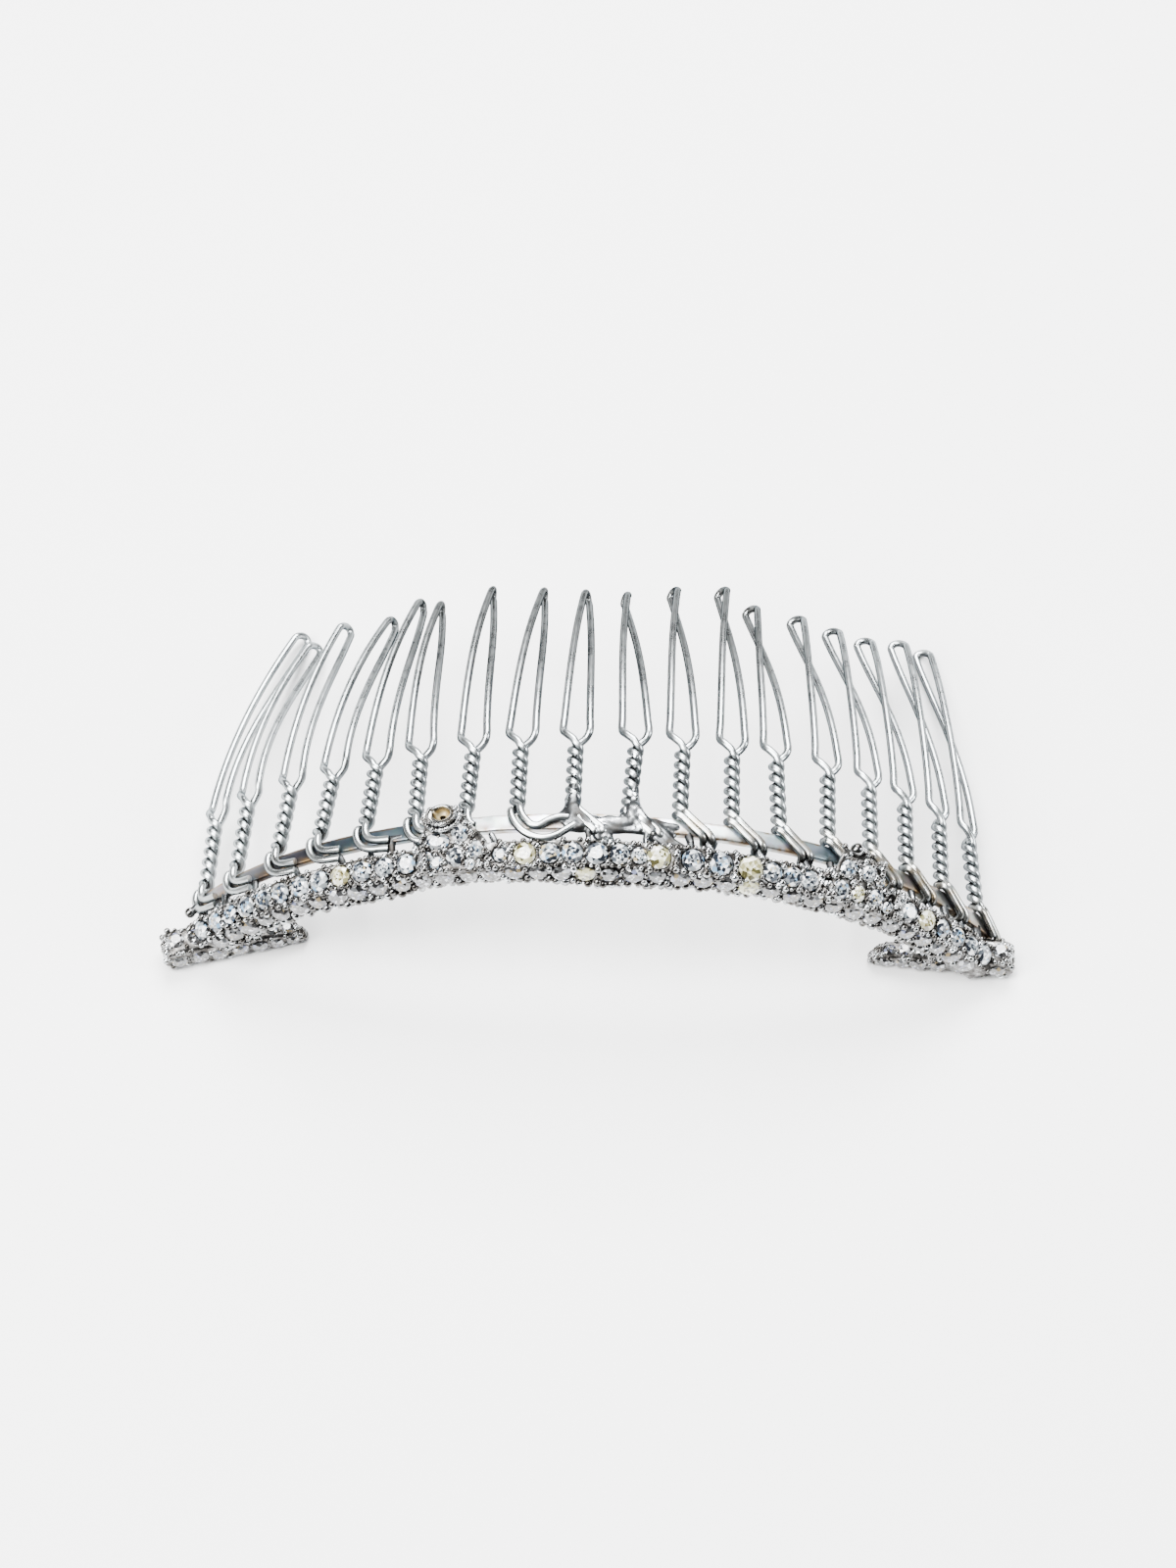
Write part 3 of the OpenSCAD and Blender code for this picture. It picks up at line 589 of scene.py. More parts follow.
def foot_size(x):
    return FOOT_OUTER - (FOOT_OUTER - FOOT_INNER) / (FOOT_LEN - FOOT_OUTER) * max(x - FOOT_OUTER, 0)


def on_foot(name, x, y, z):
    """Place in metres of a foot's own point: x inwards from its outer end, y to the back, z up."""
    corner, side, turn = FEET[name]
    return 0.001 * (corner + Matrix.Rotation(turn, 3, "Z") @ Vector((side * x, y, z)))


def round_box(count, power):
    """Points from -1 to 1 each way round a box with rounded corners; the lower the power, the squarer it is."""
    for j in range(count):
        c, d = cos(2 * pi * j / count), sin(2 * pi * j / count)
        yield copysign(abs(c) ** power, c), copysign(abs(d) ** power, d)


def skin_over(built, rings):
    """Skin from each ring of points to the next, closed at both ends unless these are points."""
    for ring, after in zip(rings, rings[1:]):
        for j in range(len(ring)):
            n = (j + 1) % len(ring)
            built.faces.new((ring[j], ring[n], after[n], after[j])).smooth = True
    if rings[0][0].co == rings[0][1].co:
        bmesh.ops.remove_doubles(built, verts=built.verts, dist=1e-6)
    else:
        built.faces.new(rings[0])
        built.faces.new(list(reversed(rings[-1])))
    bmesh.ops.recalc_face_normals(built, faces=built.faces)


for name in FEET:
    built = bmesh.new()
    rings = []
    for k in range(61):
        x = FOOT_LEN * k / 60
        size = foot_size(x)
        low, high, back = 0.0, size, size
        if x < FOOT_OUTER / 2:
            bite = FOOT_OUTER / 2 * (1 - sqrt(max(0.0, 1 - (1 - x / (FOOT_OUTER / 2)) ** 2)))
            low, high = bite, size - bite
        if x > FOOT_LEN - FOOT_POINT:
            u = (x - FOOT_LEN + FOOT_POINT) / FOOT_POINT
            high, back = size * (1 - 0.55 * u * u), size * (1 - 0.5 * u * u)
        front = 0.0 if x < FOOT_LEN - 0.6 else 0.35 * (x - FOOT_LEN + 0.6)
        middle = Vector((x, (front + back) / 2, (low + high) / 2))
        ring = []
        for c, d in round_box(28, 0.45):
            y = middle.y + (back - front) / 2 * c
            z = middle.z + max(high - low, 0.12) / 2 * d
            rough = 0.07 * noise.noise(Vector((x * 1.4, y * 1.4 + (5 if name == "left_foot" else 9), z * 1.4)))
            z = max(z + (rough if z > 0.3 else 0), 0)
            ring.append(built.verts.new(on_foot(name, x, y + rough, z)))
        rings.append(ring)
    skin_over(built, rings)
    finish_piece(new_piece(name, built), worn_silver, *SOLDERED)

# ---- Clusters ----
# Two raised groups of settings climb from the band over the bar, clear of the strands that pass under them.
# Each is a cast mound of silver that the stones and beads sit on.
LEFT_CLUSTER, RIGHT_CLUSTER = -11.6, 22.3
CLUSTER_TOP, CLUSTER_UNDER, CLUSTER_BREAK, CLUSTER_SLOPE = 1.75, 1.05, -2.1, radians(30)
CUP_X, CUP_Y = -0.65, -1.5  # middle of the empty cup, from the left cluster's own middle


def cluster_height(y):
    return CLUSTER_TOP + min(y - CLUSTER_BREAK, 0) * tan(CLUSTER_SLOPE)


def cluster_under(y):
    """Underside of a mound: level over the bar, then down to the band behind its upper stones."""
    return CLUSTER_UNDER if y > -2.6 else max(CLUSTER_UNDER - (-2.6 - y) * 1.9, -0.8)


# A mound's plan, from the band to its far end: y, its left side and its right side
for name, at, plan in (
        ("left_cluster", LEFT_CLUSTER, [
            (-5.3, -2.5, 2.8), (-3.2, -2.5, 2.8), (-2.2, -2.4, 1.8), (-1.5, -2.2, 1.2), (-1.0, -1.7, -0.5)]),
        ("right_cluster", RIGHT_CLUSTER, [
            (-5.3, -3.2, 3.1), (-4.2, -3.1, 3.0), (-3.0, -2.9, 1.9), (-2.0, -2.7, 0.6), (-1.3, -2.3, -0.6)])):
    built = bmesh.new()
    rings = []
    for k in range(31):
        y = plan[0][0] + (plan[-1][0] - plan[0][0]) * k / 30
        for (y0, a0, b0), (y1, a1, b1) in zip(plan, plan[1:]):
            if y0 <= y <= y1:
                u = (y - y0) / (y1 - y0)
                left, right = a0 + (a1 - a0) * u, b0 + (b1 - b0) * u
        high, low = cluster_height(y), cluster_under(y)
        ring = []
        for c, d in round_box(36, 0.6):
            x = (left + right) / 2 + (right - left) / 2 * c
            r = (high + low) / 2 + (high - low) / 2 * d
            if d > 0:
                r += 0.16 * noise.noise(Vector((x * 1.5, y * 1.5, at))) - 0.12
            if name == "left_cluster" and hypot(x - CUP_X, y - CUP_Y) < 1.1:
                r = min(r, CLUSTER_UNDER + 0.2)
            ring.append(built.verts.new(on_comb(at, y, r, x)))
        rings.append(ring)
    skin_over(built, rings)
    finish_piece(new_piece(name, built), worn_silver, *SOLDERED)

# ---- Stones ----
# Round stones cut by hand, clear to grey and a few yellowish, each let down into its pit or mound.
# Every stone is a little off in size and tilt, and its facets are painted uneven tones picked by chance, near black,
# white and blue among them, as painted glints and reflections.
chance = random.Random(7)
vary = chance.uniform
CROWN_HEIGHT, KITE_HEIGHT, STONE_DEPTH = 0.34, 0.2, 0.86


def cut_stone_shape():
    """Round brilliant of radius 1 about the middle of its girdle; its table shows the facets under it as a star."""
    built = bmesh.new()

    def ring(count, radius, height, start):
        turns = [2 * pi * (k + start) / count for k in range(count)]
        return [built.verts.new((radius * cos(a), radius * sin(a), height)) for a in turns]

    middle = built.verts.new((0, 0, CROWN_HEIGHT))
    star = ring(8, 0.3, CROWN_HEIGHT, 0.5)
    table = ring(8, 0.58, CROWN_HEIGHT, 0.0)
    kites = ring(8, 0.81, KITE_HEIGHT, 0.5)
    girdle = ring(16, 1.0, 0.0, 0.0)
    point = built.verts.new((0, 0, -STONE_DEPTH))
    for k in range(8):
        n = (k + 1) % 8
        for corners in ((middle, star[k], star[n]), (star[k], table[k], table[n]), (star[k], table[n], star[n]),
                        (table[k], kites[k], table[n]), (kites[k], girdle[2 * k], girdle[2 * k + 1]),
                        (kites[k], girdle[2 * k + 1], girdle[(2 * k + 2) % 16]),
                        (table[k], kites[k - 1], girdle[2 * k], kites[k])):
            built.faces.new(corners)
    for k in range(16):
        built.faces.new((point, girdle[(k + 1) % 16], girdle[k]))
    bmesh.ops.recalc_face_normals(built, faces=built.faces)
    return new_piece("cut_stone", built)


def make_setting_tree():
    """Puts a shape on every point, turned and sized by the point's values, and gives every facet a chance value."""
    tree, given, identifiers = new_shape_tree("set_on_points", {
        "Points": "Geometry", "Shape": "Object", "Seed": "Int", "Surface": "Material"}, "Set pieces")
    shape = add_node(tree, "GeometryNodeObjectInfo", {"Object": given["Shape"]}).outputs["Geometry"]
    turn, size = [add_node(tree, "GeometryNodeInputNamedAttribute", {"Name": name}, data_type="FLOAT_VECTOR")
                  for name in ("turn", "size")]
    put = add_node(tree, "GeometryNodeInstanceOnPoints", {
        "Points": given["Points"], "Instance": shape, "Rotation": turn, "Scale": size})
    realized = add_node(tree, "GeometryNodeRealizeInstances", {"Geometry": put})
    dice = add_node(tree, "FunctionNodeRandomValue", {"Seed": given["Seed"]})
    keep = add_node(tree, "GeometryNodeStoreNamedAttribute", {
        "Geometry": realized, "Name": "facet", "Value": dice.outputs[1]}, data_type="FLOAT", domain="FACE")
    coat = add_node(tree, "GeometryNodeSetMaterial", {"Geometry": keep, "Material": given["Surface"]})
    add_node(tree, "NodeGroupOutput", {"Set pieces": coat})
    return tree, identifiers


def points_mesh(name, places):
    """Base mesh of bare points; each place is (position, way out, way along, size along/across/out in mm)."""
    mesh = bpy.data.meshes.new(name)
    mesh.from_pydata([tuple(p[0]) for p in places], [], [])
    turn = mesh.attributes.new("turn", "FLOAT_VECTOR", "POINT")
    size = mesh.attributes.new("size", "FLOAT_VECTOR", "POINT")
    for k, (position, out, along, scale) in enumerate(places):
        out = out.normalized()
        across = out.cross(along).normalized()
        level = across.cross(out)
        turn.data[k].vector = tuple(Matrix((level, across, out)).transposed().to_euler())
        size.data[k].vector = tuple(0.001 * v for v in scale)
    return mesh


def tilted(out, along, most):
    """The way out of a stone, leaning by chance."""
    across = out.cross(along)
    return (out + along * vary(-most, most) + across * vary(-most, most)).normalized()


def row_stone(s, face, radius):
    _, along, out = arch_frame(s)
    way = tilted(Vector((0, face[2][0], 0)) + face[2][1] * out, along, 0.09)
    lift = 0.1 + vary(-0.05, 0.05)
    shift = 0.45 * edge_in(s) if face is FRONT_FACE else 0.0
    return on_comb(s, *on_face(face, 0.0, lift, shift)), way, along, (radius, radius, radius)


def cluster_stone(at, x, y, rx, ry):
    _, along, out = arch_frame(at)
    a = CLUSTER_SLOPE if y < CLUSTER_BREAK else 0.0
    way = Vector((0, -sin(a), 0)) + cos(a) * out
    return on_comb(at, y, cluster_height(y) + 0.04, x), tilted(way, along, 0.08), along, (rx, ry, min(rx, ry))


def foot_stone(name, x, on_top, radius):
    size = foot_size(x)
    level = Matrix.Rotation(FEET[name][2], 3, "Z")
    place = on_foot(name, x, size * 0.5, size + 0.04) if on_top else on_foot(name, x, -0.04, size * 0.5)
    way = Vector((0, 0, 1)) if on_top else level @ Vector((0, -1, 0))
    along = level @ Vector((1, 0, 0))
    return place, tilted(way, along, 0.1), along, (radius, radius, radius)


def hidden_by_cluster(s):
    return abs(s - LEFT_CLUSTER) < 3.7 or abs(s - RIGHT_CLUSTER) < 3.7


YELLOW_UPPER, YELLOW_FRONT = (-11, -3, 3, 6, 15), (-1, 6)
upper_stones, front_stones, yellow_stones = [], [], []
for i, (s, radius) in UPPER_STONES.items():
    if hidden_by_cluster(s):
        continue
    stone = row_stone(s + vary(-0.05, 0.05), UPPER_FACE, radius * vary(0.94, 1.04))
    (yellow_stones if i in YELLOW_UPPER else upper_stones).append(stone)
for i, (s, radius) in FRONT_STONES.items():
    stone = row_stone(s + vary(-0.05, 0.05), FRONT_FACE, radius * vary(0.92, 1.06))
    (yellow_stones if i in YELLOW_FRONT else front_stones).append(stone)
for x, y, rx, ry in ((-1.2, -3.2, 1.02, 0.66), (0.75, -2.75, 0.75, 0.75), (1.9, -4.0, 0.7, 0.7),
                     (0.2, -4.4, 0.78, 0.78), (-1.4, -4.65, 0.58, 0.58), (-2.1, -4.2, 0.4, 0.4),
                     (1.3, -4.95, 0.45, 0.45)):
    upper_stones.append(cluster_stone(LEFT_CLUSTER, x, y, rx, ry))
for x, y, radius, group in (
        (-1.9, -3.0, 0.75, upper_stones), (0.0, -2.9, 0.72, upper_stones), (-2.2, -4.6, 0.82, upper_stones),
        (-0.5, -4.5, 0.7, yellow_stones), (1.2, -4.45, 0.75, upper_stones), (2.5, -4.8, 0.5, upper_stones),
        (1.3, -3.3, 0.4, upper_stones)):
    group.append(cluster_stone(RIGHT_CLUSTER, x, y, radius, radius))
for name in FEET:
    for x in (1.25, 2.9, 6.2, 7.8, 9.3, 10.6):
        front_stones.append(foot_stone(name, x, True, 0.74 if x < 8.5 else 0.58))
    for x in (1.3, 3.0, 4.7, 6.4, 8.0, 9.5, 10.9):
        front_stones.append(foot_stone(name, x, False, 0.74 if x < 8.5 else 0.6))

cut_stone = cut_stone_shape()
setting_tree = make_setting_tree()
for name, places, facet_colour_and_glint_tones, seed, slot, replaced in (
        ("clear_stones", upper_stones, [
            (0.0, (0.01, 0.013, 0.018)), (0.28, (0.075, 0.085, 0.1)), (0.46, (0.22, 0.245, 0.26)),
            (0.62, (0.44, 0.48, 0.5)), (0.72, (0.94, 0.96, 0.98)), (0.84, (0.2, 0.36, 0.54)),
            (0.88, (0.62, 0.68, 0.72)), (0.93, (0.46, 0.38, 0.22)), (0.96, (0.03, 0.05, 0.08))],
         3, "clear_stone", ("stones_upper_row", "stones_left_cluster", "stones_right_cluster")),
        ("grey_stones", front_stones, [
            (0.0, 0.01), (0.32, 0.045), (0.54, (0.11, 0.115, 0.12)),
            (0.72, (0.24, 0.245, 0.26)), (0.84, (0.72, 0.74, 0.78)), (0.91, (0.2, 0.22, 0.34)),
            (0.96, (0.24, 0.19, 0.11))],
         5, "grey_stone", ("stones_front_row", "stones_left_foot", "stones_right_foot")),
        ("yellow_cut_stones", yellow_stones, [
            (0.0, (0.06, 0.055, 0.02)), (0.18, (0.26, 0.245, 0.12)), (0.38, (0.52, 0.5, 0.3)),
            (0.62, (0.76, 0.75, 0.52)), (0.82, (0.95, 0.95, 0.86)), (0.94, (0.16, 0.13, 0.06))],
         9, "yellow_stone", ("yellow_stones",))):
    # Each facet takes a colour by chance from its list: the white, blue and near black steps are painted glints and
    # reflections over the stone's own clear, grey or yellow tones.
    stone_look, tree, shader = new_finish(name + "_look", {"IOR": 2.1, "Roughness": 0.05, "Transmission Weight": 0.2})
    set_sockets(tree, shader, {"Base Color": tones(tree, mark(tree, "facet"), facet_colour_and_glint_tones, "CONSTANT")})
    made = from_tree(name, points_mesh(name + "_points", places), setting_tree, {
        "Shape": cut_stone, "Seed": seed, "Surface": stone_look})
    finish_piece(made, stone_look, slot, *replaced)
bpy.data.objects.remove(cut_stone)

# ---- Grains and beads ----
# Small balls of silver raised from the band hold each stone at its edge, and a rougher line of beads
# runs along the band's ridge and both its borders. They are brighter than the metal under them.
CUP_CLEAR = 1.2
BARE_FROM = 33.5  # from here on the band's lower border is bare, where the right foot joins it
grains = []


def add_grain(place, radius):
    out = Vector((vary(-1, 1), vary(-1, 1), vary(-1, 1)))
    along = out.orthogonal()
    place.z = max(place.z, 0.00115 * radius)
    grains.append((place, out, along, (radius, radius * vary(0.85, 1.15), radius)))


# claws between the stones of each row
for face, stones in ((UPPER_FACE, UPPER_STONES), (FRONT_FACE, FRONT_STONES)):
    for i in list(stones)[:-1]:
        s = (stones[i][0] + stones[i + 1][0]) / 2
        if face is UPPER_FACE and hidden_by_cluster(s) and abs(abs(s - LEFT_CLUSTER) - 3.6) > 0.5:
            continue
        if stones[i + 1][0] - stones[i][0] > 2.2:
            for w in (-0.9, -0.3, 0.35, 0.9):
                add_grain(on_comb(s, *on_face(face, w, 0.1)), vary(0.26, 0.4))
        for w in (-0.62, 0.0, 0.62):
            t = w + vary(-0.08, 0.08)
            spot = on_face(face, t, 0.12 if w else 0.02, face_shift(face, s, t))
            add_grain(on_comb(s + vary(-0.07, 0.07), *spot),
                      vary(0.24, 0.34) if w else vary(0.15, 0.22))
# lines of beads along the ridge, the lower border's edge, the upper border and the border's underside
for s, y, r, step, low, high in (
        (-38.4, RIDGE_Y - 0.02, RIDGE_R, 0.62, 0.17, 0.3), (-38.4, -5.52, -2.2, 0.66, 0.26, 0.46),
        (-38.3, -3.3, 0.42, 0.6, 0.17, 0.28), (-38.3, -5.45, -2.5, 0.9, 0.18, 0.36)):
    on_border = r < -2
    while s < 38.5:
        if not (y > -4 and hidden_by_cluster(s)):
            shift = edge_in(s) if on_border else 0.0
            spot = on_comb(s, y + shift + vary(-0.1, 0.1), r + vary(-0.12, 0.12))
            add_grain(spot, vary(low, high))
            if on_border and s > BARE_FROM:
                grains.pop()
        s += step * vary(0.75, 1.25)
# a crowd of them to the right of the left cluster, about one small stone
for k in range(34):
    s, w = vary(-9.4, -6.7), vary(-1.0, 0.9)
    if hypot(s + 7.85, w) > 0.55:
        y, r = on_face(UPPER_FACE, w, 0.0)
        add_grain(on_comb(s, y, r + 0.12), vary(0.16, 0.32))
# over both mounds, and in two rings round the empty cup
for at in (LEFT_CLUSTER, RIGHT_CLUSTER):
    for k in range(150):
        x, y = vary(-2.9, 2.9), vary(-5.25, -1.2)
        reach = 2.8 if y < -3.2 else 2.8 - (y + 3.2) * 0.9
        in_cup = at == LEFT_CLUSTER and hypot(x - CUP_X, y - CUP_Y) < CUP_CLEAR
        if not (x > reach or x < -2.6 or in_cup):
            add_grain(on_comb(at, y, cluster_height(y) - 0.02, x), vary(0.14, 0.3))
for k in range(26):
    a = radians(140 + 260 * k / 25 + vary(-5, 5))
    for deep, wide, height, low, high in ((0.95, 1.16, 1.34, 0.13, 0.25), (1.2, 1.45, 0.95, 0.16, 0.3)):
        add_grain(on_comb(LEFT_CLUSTER, CUP_Y + deep * sin(a), CLUSTER_UNDER + height, CUP_X + wide * cos(a)),
                  vary(low, high))
# on the tops and fronts of the feet, and round their outer and inner ends
for name in FEET:
    for k in range(130):
        x = vary(0.4, FOOT_LEN - 0.4)
        size = foot_size(x) - (0.35 if x > FOOT_LEN - FOOT_POINT else 0.0)
        if chance.random() < 0.5:
            add_grain(on_foot(name, x, vary(0.1, size - 0.1), size - 0.07), vary(0.15, 0.3))
        else:
            add_grain(on_foot(name, x, 0.07, vary(0.3, size - 0.1)), vary(0.15, 0.28))
for name in FEET:
    for k in range(70):
        a = vary(-1.3, 1.4)
        spot = on_foot(name, 1.32 - 1.22 * cos(a), vary(0.15, 2.45), 1.3 + 1.22 * sin(a))
        add_grain(spot, vary(0.16, 0.32))
    for k in range(60):
        u = vary(0.0, 1.0)
        x, across = FOOT_LEN - FOOT_POINT + FOOT_POINT * u, vary(0.1, 1.0)
        spot = on_foot(name, x, across * 1.45 * (1 - 0.5 * u * u), 1.45 * (1 - 0.55 * u * u))
        add_grain(spot, vary(0.14, 0.26))
        if k % 2:
            spot = on_foot(name, FOOT_LEN - 0.02, vary(0.2, 0.8), vary(0.15, 0.65))
            add_grain(spot, vary(0.14, 0.24))
# heaped where the mounds' sides meet the band's upper row: place, way to the mound, width of the heap
for s0, to_mound, wide in ((LEFT_CLUSTER - 3.2, 1, 1.0), (RIGHT_CLUSTER - 4.0, 1, 1.1), (RIGHT_CLUSTER + 4.1, -1, 1.2)):
    for k in range(40):
        u, w = vary(0.0, 1.0), vary(-1.2, 0.95)
        spot = on_comb(s0 + to_mound * wide * u, *on_face(UPPER_FACE, w, 0.1 + 0.75 * u * u))
        add_grain(spot, vary(0.16, 0.34))

bright_bead, tree, shader = new_finish("bright_silver_beads", {"Metallic": 1.0, "Roughness": 0.18})
set_sockets(tree, shader, {"Base Color": tones(tree, cloudy(tree, 1500, 4)["Fac"], [
    (0.36, (0.045, 0.042, 0.038)), (0.48, (0.14, 0.137, 0.133)), (0.58, (0.33, 0.34, 0.345)),
    (0.7, (0.84, 0.87, 0.89))])})
built = bmesh.new()
bmesh.ops.create_uvsphere(built, u_segments=8, v_segments=6, radius=1.0)
for face in built.faces:
    face.smooth = True
ball = new_piece("silver_ball", built)
beads = from_tree("grains", points_mesh("grain_points", grains), setting_tree, {
    "Shape": ball, "Seed": 1, "Surface": bright_bead})
bpy.data.objects.remove(ball)
finish_piece(beads, bright_bead, *SOLDERED)

# ---- Empty setting and polished balls ----
# At the top of the left cluster a turned cup has lost its stone: its gilt seat shows, with a drilled hole whose inside
# is painted near black as painted shade.
# A small polished ball sits at the right cluster's upper corner, and another closes the first tooth's wire.
CUP_SIDES = 48
# Columns: radius, height, and the metal's tone, from silver through dark brown and gilt to the near black painted shade
# of the drilled hole
CUP_PROFILE = [
    (0.0, -0.05, 0), (0.7, -0.05, 0), (0.92, 0.05, 0), (1.1, 0.45, 0), (1.22, 0.8, 0), (1.28, 0.98, 0),
    (1.24, 1.1, 0), (1.12, 1.16, 0), (0.96, 1.14, 0.02), (0.8, 1.08, 0.1), (0.72, 1.0, 0.2), (0.62, 0.8, 0.5),
    (0.44, 0.62, 0.6), (0.28, 0.52, 0.7), (0.22, 0.46, 0.95), (0.19, 0.1, 1.0), (0.0, 0.05, 1.0)]
built = bmesh.new()
gilt_and_hole_shade_layer = built.verts.layers.float.new("gilt_and_hole_shade")
rings = []
lean = Matrix.Rotation(radians(-4), 3, "X")
for radius, height, gilt_and_hole_shade_amount in CUP_PROFILE:
    ring = []
    for k in range(CUP_SIDES):
        a = 2 * pi * k / CUP_SIDES
        back = 0.12 if gilt_and_hole_shade_amount > 0.05 else 0.0
        q = lean @ Vector((radius * cos(a), 0.82 * radius * sin(a) + back, height))
        ring.append(built.verts.new(on_comb(LEFT_CLUSTER, CUP_Y + q.y, CLUSTER_UNDER + 0.18 + q.z, CUP_X + q.x)))
        ring[-1][gilt_and_hole_shade_layer] = gilt_and_hole_shade_amount
    rings.append(ring)
skin_over(built, rings)
cup = new_piece("empty_setting", built)
cup_look, tree, shader = new_finish("gilt_seat_silver_cup", {"Metallic": 1.0})
gilt_and_hole_shade = mark(tree, "gilt_and_hole_shade")
set_sockets(tree, shader, {
    # The near black at the top of the ramp is painted shade inside the drilled hole.
    "Base Color": tones(tree, gilt_and_hole_shade, [
        (0.0, (0.4, 0.41, 0.42)), (0.1, (0.42, 0.4, 0.34)), (0.2, (0.12, 0.09, 0.05)), (0.5, (0.3, 0.235, 0.12)),
        (0.7, (0.5, 0.43, 0.26)), (0.95, (0.015, 0.012, 0.008))]),
    "Roughness": ranged(tree, gilt_and_hole_shade, 0.18, 0.6)})
finish_piece(cup, cup_look, *SOLDERED)
built = bmesh.new()
for spot, radius in ((on_comb(RIGHT_CLUSTER, -1.4, CLUSTER_TOP + 0.2, -1.5), 0.00056),
                     (on_comb(-38.12, -2.34, 0.86), 0.00046)):
    bmesh.ops.create_uvsphere(built, u_segments=32, v_segments=20, radius=radius, matrix=Matrix.Translation(spot))
for face in built.faces:
    face.smooth = True
finish_piece(new_piece("polished_balls", built), bright_bead, *SOLDERED)

# ---- Solder ----
# Silver solder bridges the slot between bar and band, floods the roots of the two middle shanks,
# and closes the strands' ends to the band. It has run into smooth, uneven webs with open gaps between them.
built = bmesh.new()


def add_run(marks, flat=1.0):
    """Lumpy run of solder through marks of (s, y, r, radius); flat squeezes it towards the arch."""
    for start, end in zip(marks, marks[1:]):
        count = max(1, round(dist(start[:3], end[:3]) / 0.14))
        for k in range(count + 1):
            s, y, r, radius = [a + (b - a) * (k / count) for a, b in zip(start, end)]
            radius *= 1 + 0.22 * noise.noise(Vector((s * 1.3, y * 1.3, r * 1.3)))
            _, along, out = arch_frame(s)
            squeeze = Matrix((along, Vector((0, 1, 0)), out)).transposed().to_4x4() @ Matrix.Diagonal((1, 1, flat, 1))
            bmesh.ops.create_icosphere(built, subdivisions=2, radius=0.001 * radius,
                                       matrix=Matrix.Translation(on_comb(s, y, r)) @ squeeze)


# flooded roots of the ninth and tenth teeth, with beads of solder caught in their shanks
for s, ways, wide in ((-2.15, (-3.3, -1.0), 0.36), (2.7, (1.7, 3.9), 0.46)):
    add_run([(s, 2.2, 0.0, 0.44), (s, 1.2, 0.0, 0.58), (s, 0.4, 0.05, 0.68), (s, -0.3, 0.1, 0.82),
             (s + 0.1, -0.9, 0.22, 0.7)])
    add_run([(s + 0.25, -0.1, 0.45, wide + 0.06), (s + 0.65, -0.8, 0.46, wide), (s + 1.15, -1.4, 0.46, wide),
             (s + 1.6, -2.0, 0.34, wide)])
    add_run([(s - 0.1, -0.5, 0.36, 0.44), (s + 0.3, -1.2, 0.34, 0.42), (s + 0.7, -1.8, 0.3, 0.4)])
    for end in ways:
        add_run([(s, -0.1, 0.08, 0.66), ((s + end) / 2, -0.55, 0.08, 0.44), (end, -0.8, 0.12, 0.24)])
    for k in range(5):
        add_run([(s + 0.16, 1.1 + 0.96 * k, 0.4, 0.3), (s - 0.02, 1.34 + 0.96 * k, 0.46, 0.25)])
# cover of the bar between them, the webs from the bar to the band, and the neck from the first tooth's wire
# to its polished end, each with how flat it has run
for flat, marks in (
        (0.7, [(-3.3, -1.1, 0.16, 0.36), (-2.2, -1.2, 0.2, 0.52), (0.0, -1.25, 0.18, 0.5), (2.4, -1.2, 0.22, 0.52),
               (4.4, -1.25, 0.2, 0.52), (6.2, -1.4, 0.14, 0.38)]),
        (0.8, [(-2.4, -1.85, 0.06, 0.4), (0.0, -1.9, 0.04, 0.44), (2.6, -1.85, 0.06, 0.42), (4.6, -1.9, 0.06, 0.44),
               (6.0, -2.0, 0.0, 0.34)]),
        (0.6, [(-1.4, -1.2, 0.3, 0.3), (-0.4, -1.5, 0.38, 0.42), (0.5, -1.3, 0.34, 0.4), (1.5, -1.6, 0.34, 0.36),
               (2.5, -1.3, 0.36, 0.4)]),
        (0.7, [(-0.6, -2.0, 0.3, 0.36), (0.3, -2.1, 0.32, 0.45), (1.2, -2.0, 0.2, 0.36), (2.0, -1.95, 0.22, 0.26),
               (3.2, -2.0, 0.26, 0.34)]),
        (1.0, [(-0.9, -2.2, 0.2, 0.3), (-0.8, -2.9, 0.16, 0.26), (-0.9, -3.4, 0.2, 0.32)]),
        (1.0, [(0.5, -2.2, 0.1, 0.48), (0.8, -2.8, 0.05, 0.44), (0.9, -3.4, 0.16, 0.5)]),
        (1.0, [(3.5, -1.6, 0.34, 0.42), (3.9, -2.3, 0.26, 0.36), (3.7, -2.8, 0.2, 0.24), (3.8, -3.4, 0.25, 0.3)]),
        (0.7, [(3.9, -1.1, 0.3, 0.36), (4.6, -1.6, 0.36, 0.42), (5.3, -2.2, 0.28, 0.38), (6.0, -2.9, 0.2, 0.4),
               (6.8, -3.3, 0.2, 0.36)]),
        (0.7, [(-3.2, -1.1, 0.32, 0.34), (-2.6, -1.5, 0.34, 0.42), (-1.9, -1.9, 0.36, 0.4)]),
        (1.0, [(4.0, -2.1, 0.0, 0.4), (4.8, -2.6, 0.0, 0.42), (5.4, -3.2, 0.05, 0.38)]),
        (1.0, [(-0.3, -2.2, 0.08, 0.36), (0.0, -2.8, 0.02, 0.32)]),
        (1.0, [(-37.55, -2.0, 0.6, 0.34), (-37.85, -2.2, 0.72, 0.36), (-38.05, -2.3, 0.8, 0.32)])):
    add_run(marks, flat)
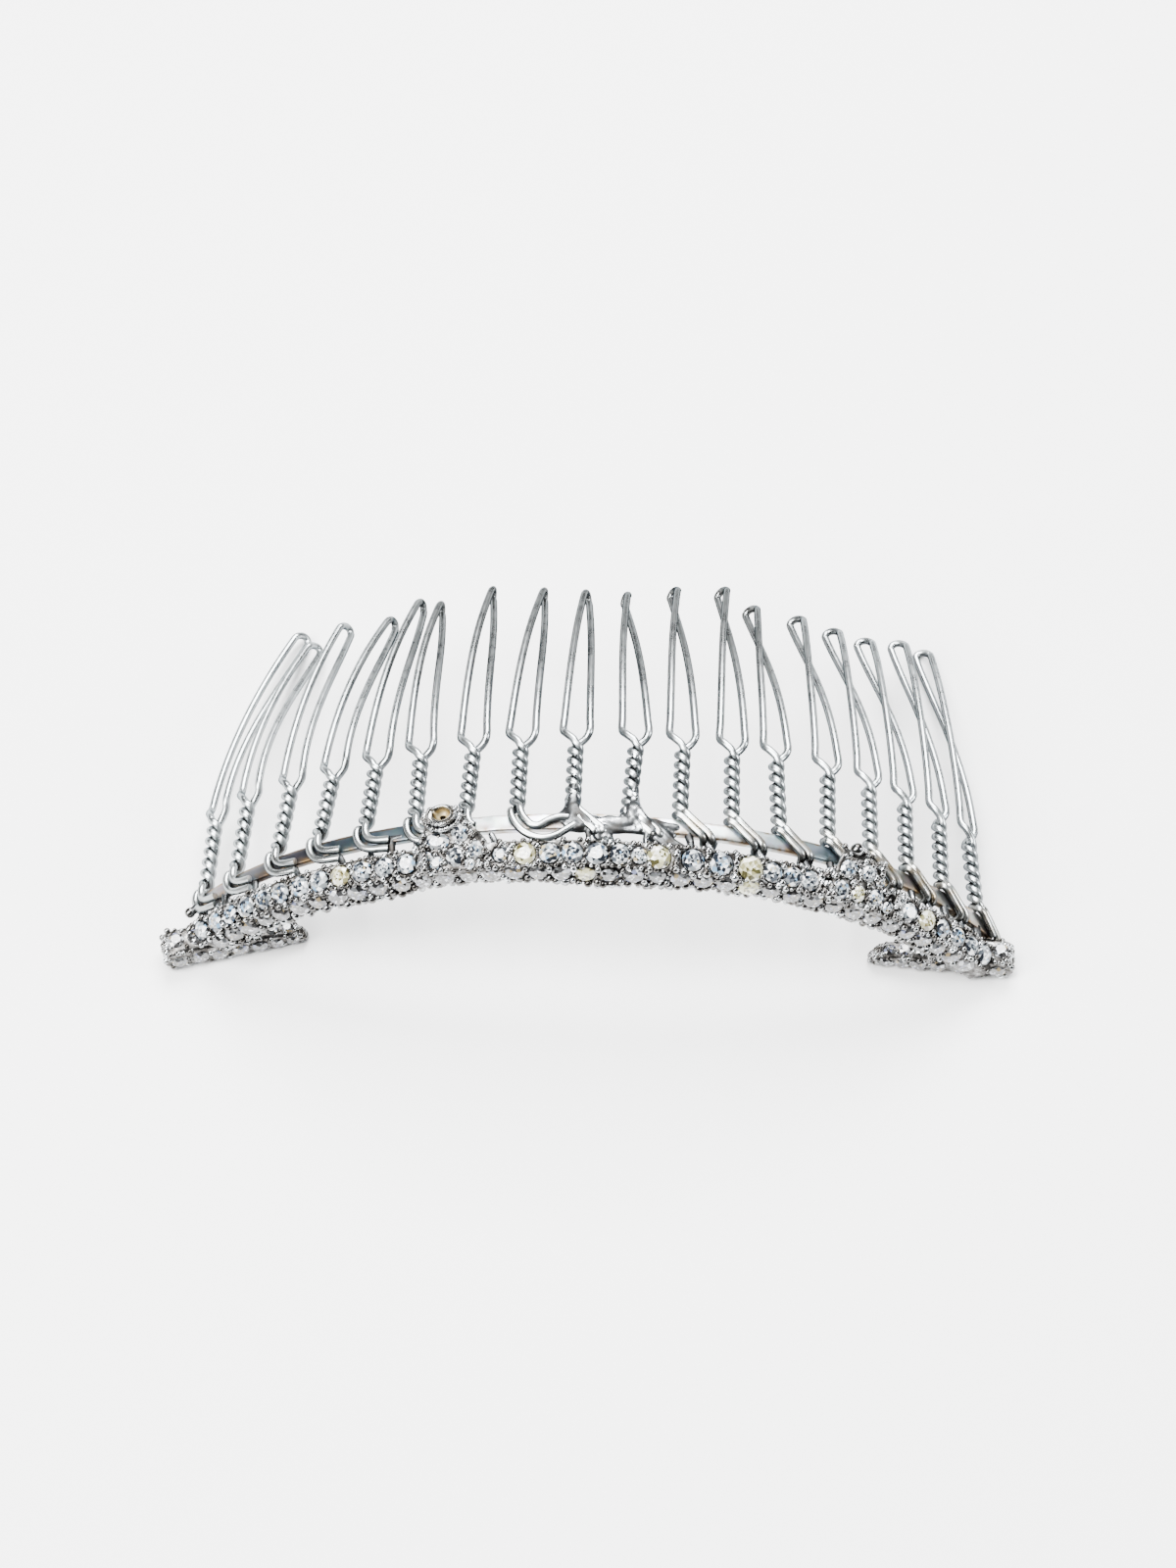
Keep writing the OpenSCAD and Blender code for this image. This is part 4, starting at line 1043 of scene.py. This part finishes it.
# smaller joins along the slot, a bright patch on the bar, and a join beside each of the other teeth
for s, wide in ((-37.6, 0.5), (-34.4, 0.42), (-30.6, 0.3), (-19.0, 0.36), (-17.2, 0.44), (-14.9, 0.4), (-13.6, 0.4),
                (7.3, 0.4), (19.5, 0.36), (27.8, 0.4), (31.8, 0.45), (36.4, 0.46)):
    add_run([(s, -1.9, -0.1, wide), (s + 0.15, -2.6, -0.08, wide * 0.8), (s + 0.1, -3.3, 0.0, wide)])
add_run([(-18.6, -1.5, 0.22, 0.26), (-17.4, -1.7, 0.22, 0.36), (-16.2, -1.6, 0.22, 0.24)], 0.5)
for i in range(len(TEETH) - 1):
    if i not in (7, 8, 9):
        s = tooth_base(i)
        add_run([(s + 2.2, -2.3, 0.05, 0.3), (s + 2.5, -2.9, 0.0, 0.34), (s + 2.7, -3.3, 0.1, 0.3)], 0.8)
lumps = new_piece("solder_lumps", built)
melt = lumps.modifiers.new("melted_together", "REMESH")
melt.mode = "VOXEL"
melt.voxel_size = 0.00008
soften = lumps.modifiers.new("softened", "SMOOTH")
soften.factor = 0.5
soften.iterations = 14
solder_mesh = plain_mesh(lumps, "solder")
bpy.data.objects.remove(lumps)
for face in solder_mesh.polygons:
    face.use_smooth = True
# Painted shade: the steeper the solder's face, the more its colour goes towards near black.
steep_side_shade_layer = solder_mesh.attributes.new("steep_side_shade", "FLOAT", "POINT")
for i, v in enumerate(solder_mesh.vertices):
    steep_side_shade_layer.data[i].value = limited((0.8 - v.normal.z) / 0.75)
solder = new_object("solder", solder_mesh)
solder_look, tree, shader = new_finish("run_silver_solder", {
    "Metallic": 1.0, "Specular Tint": (0.35, 0.37, 0.4, 1)})
flow = cloudy(tree, 650, 5)["Fac"]
flow_tone = tones(tree, flow, [
    (0.36, (0.04, 0.037, 0.034)), (0.46, (0.07, 0.073, 0.075)), (0.55, (0.135, 0.142, 0.147)),
    (0.64, (0.72, 0.75, 0.77))])
# Painted shade on the steep sides, mixed over the cloudy tone of the run metal.
set_sockets(tree, shader, {
    "Base Color": mixed(tree, mark(tree, "steep_side_shade"), flow_tone, (0.045, 0.047, 0.048, 1)),
    "Roughness": ranged(tree, flow, 0.48, 0.16, 0.4, 0.65),
    "Normal": bumps(tree, flow, 0.5, 0.0001)})
finish_piece(solder, solder_look, *SOLDERED)
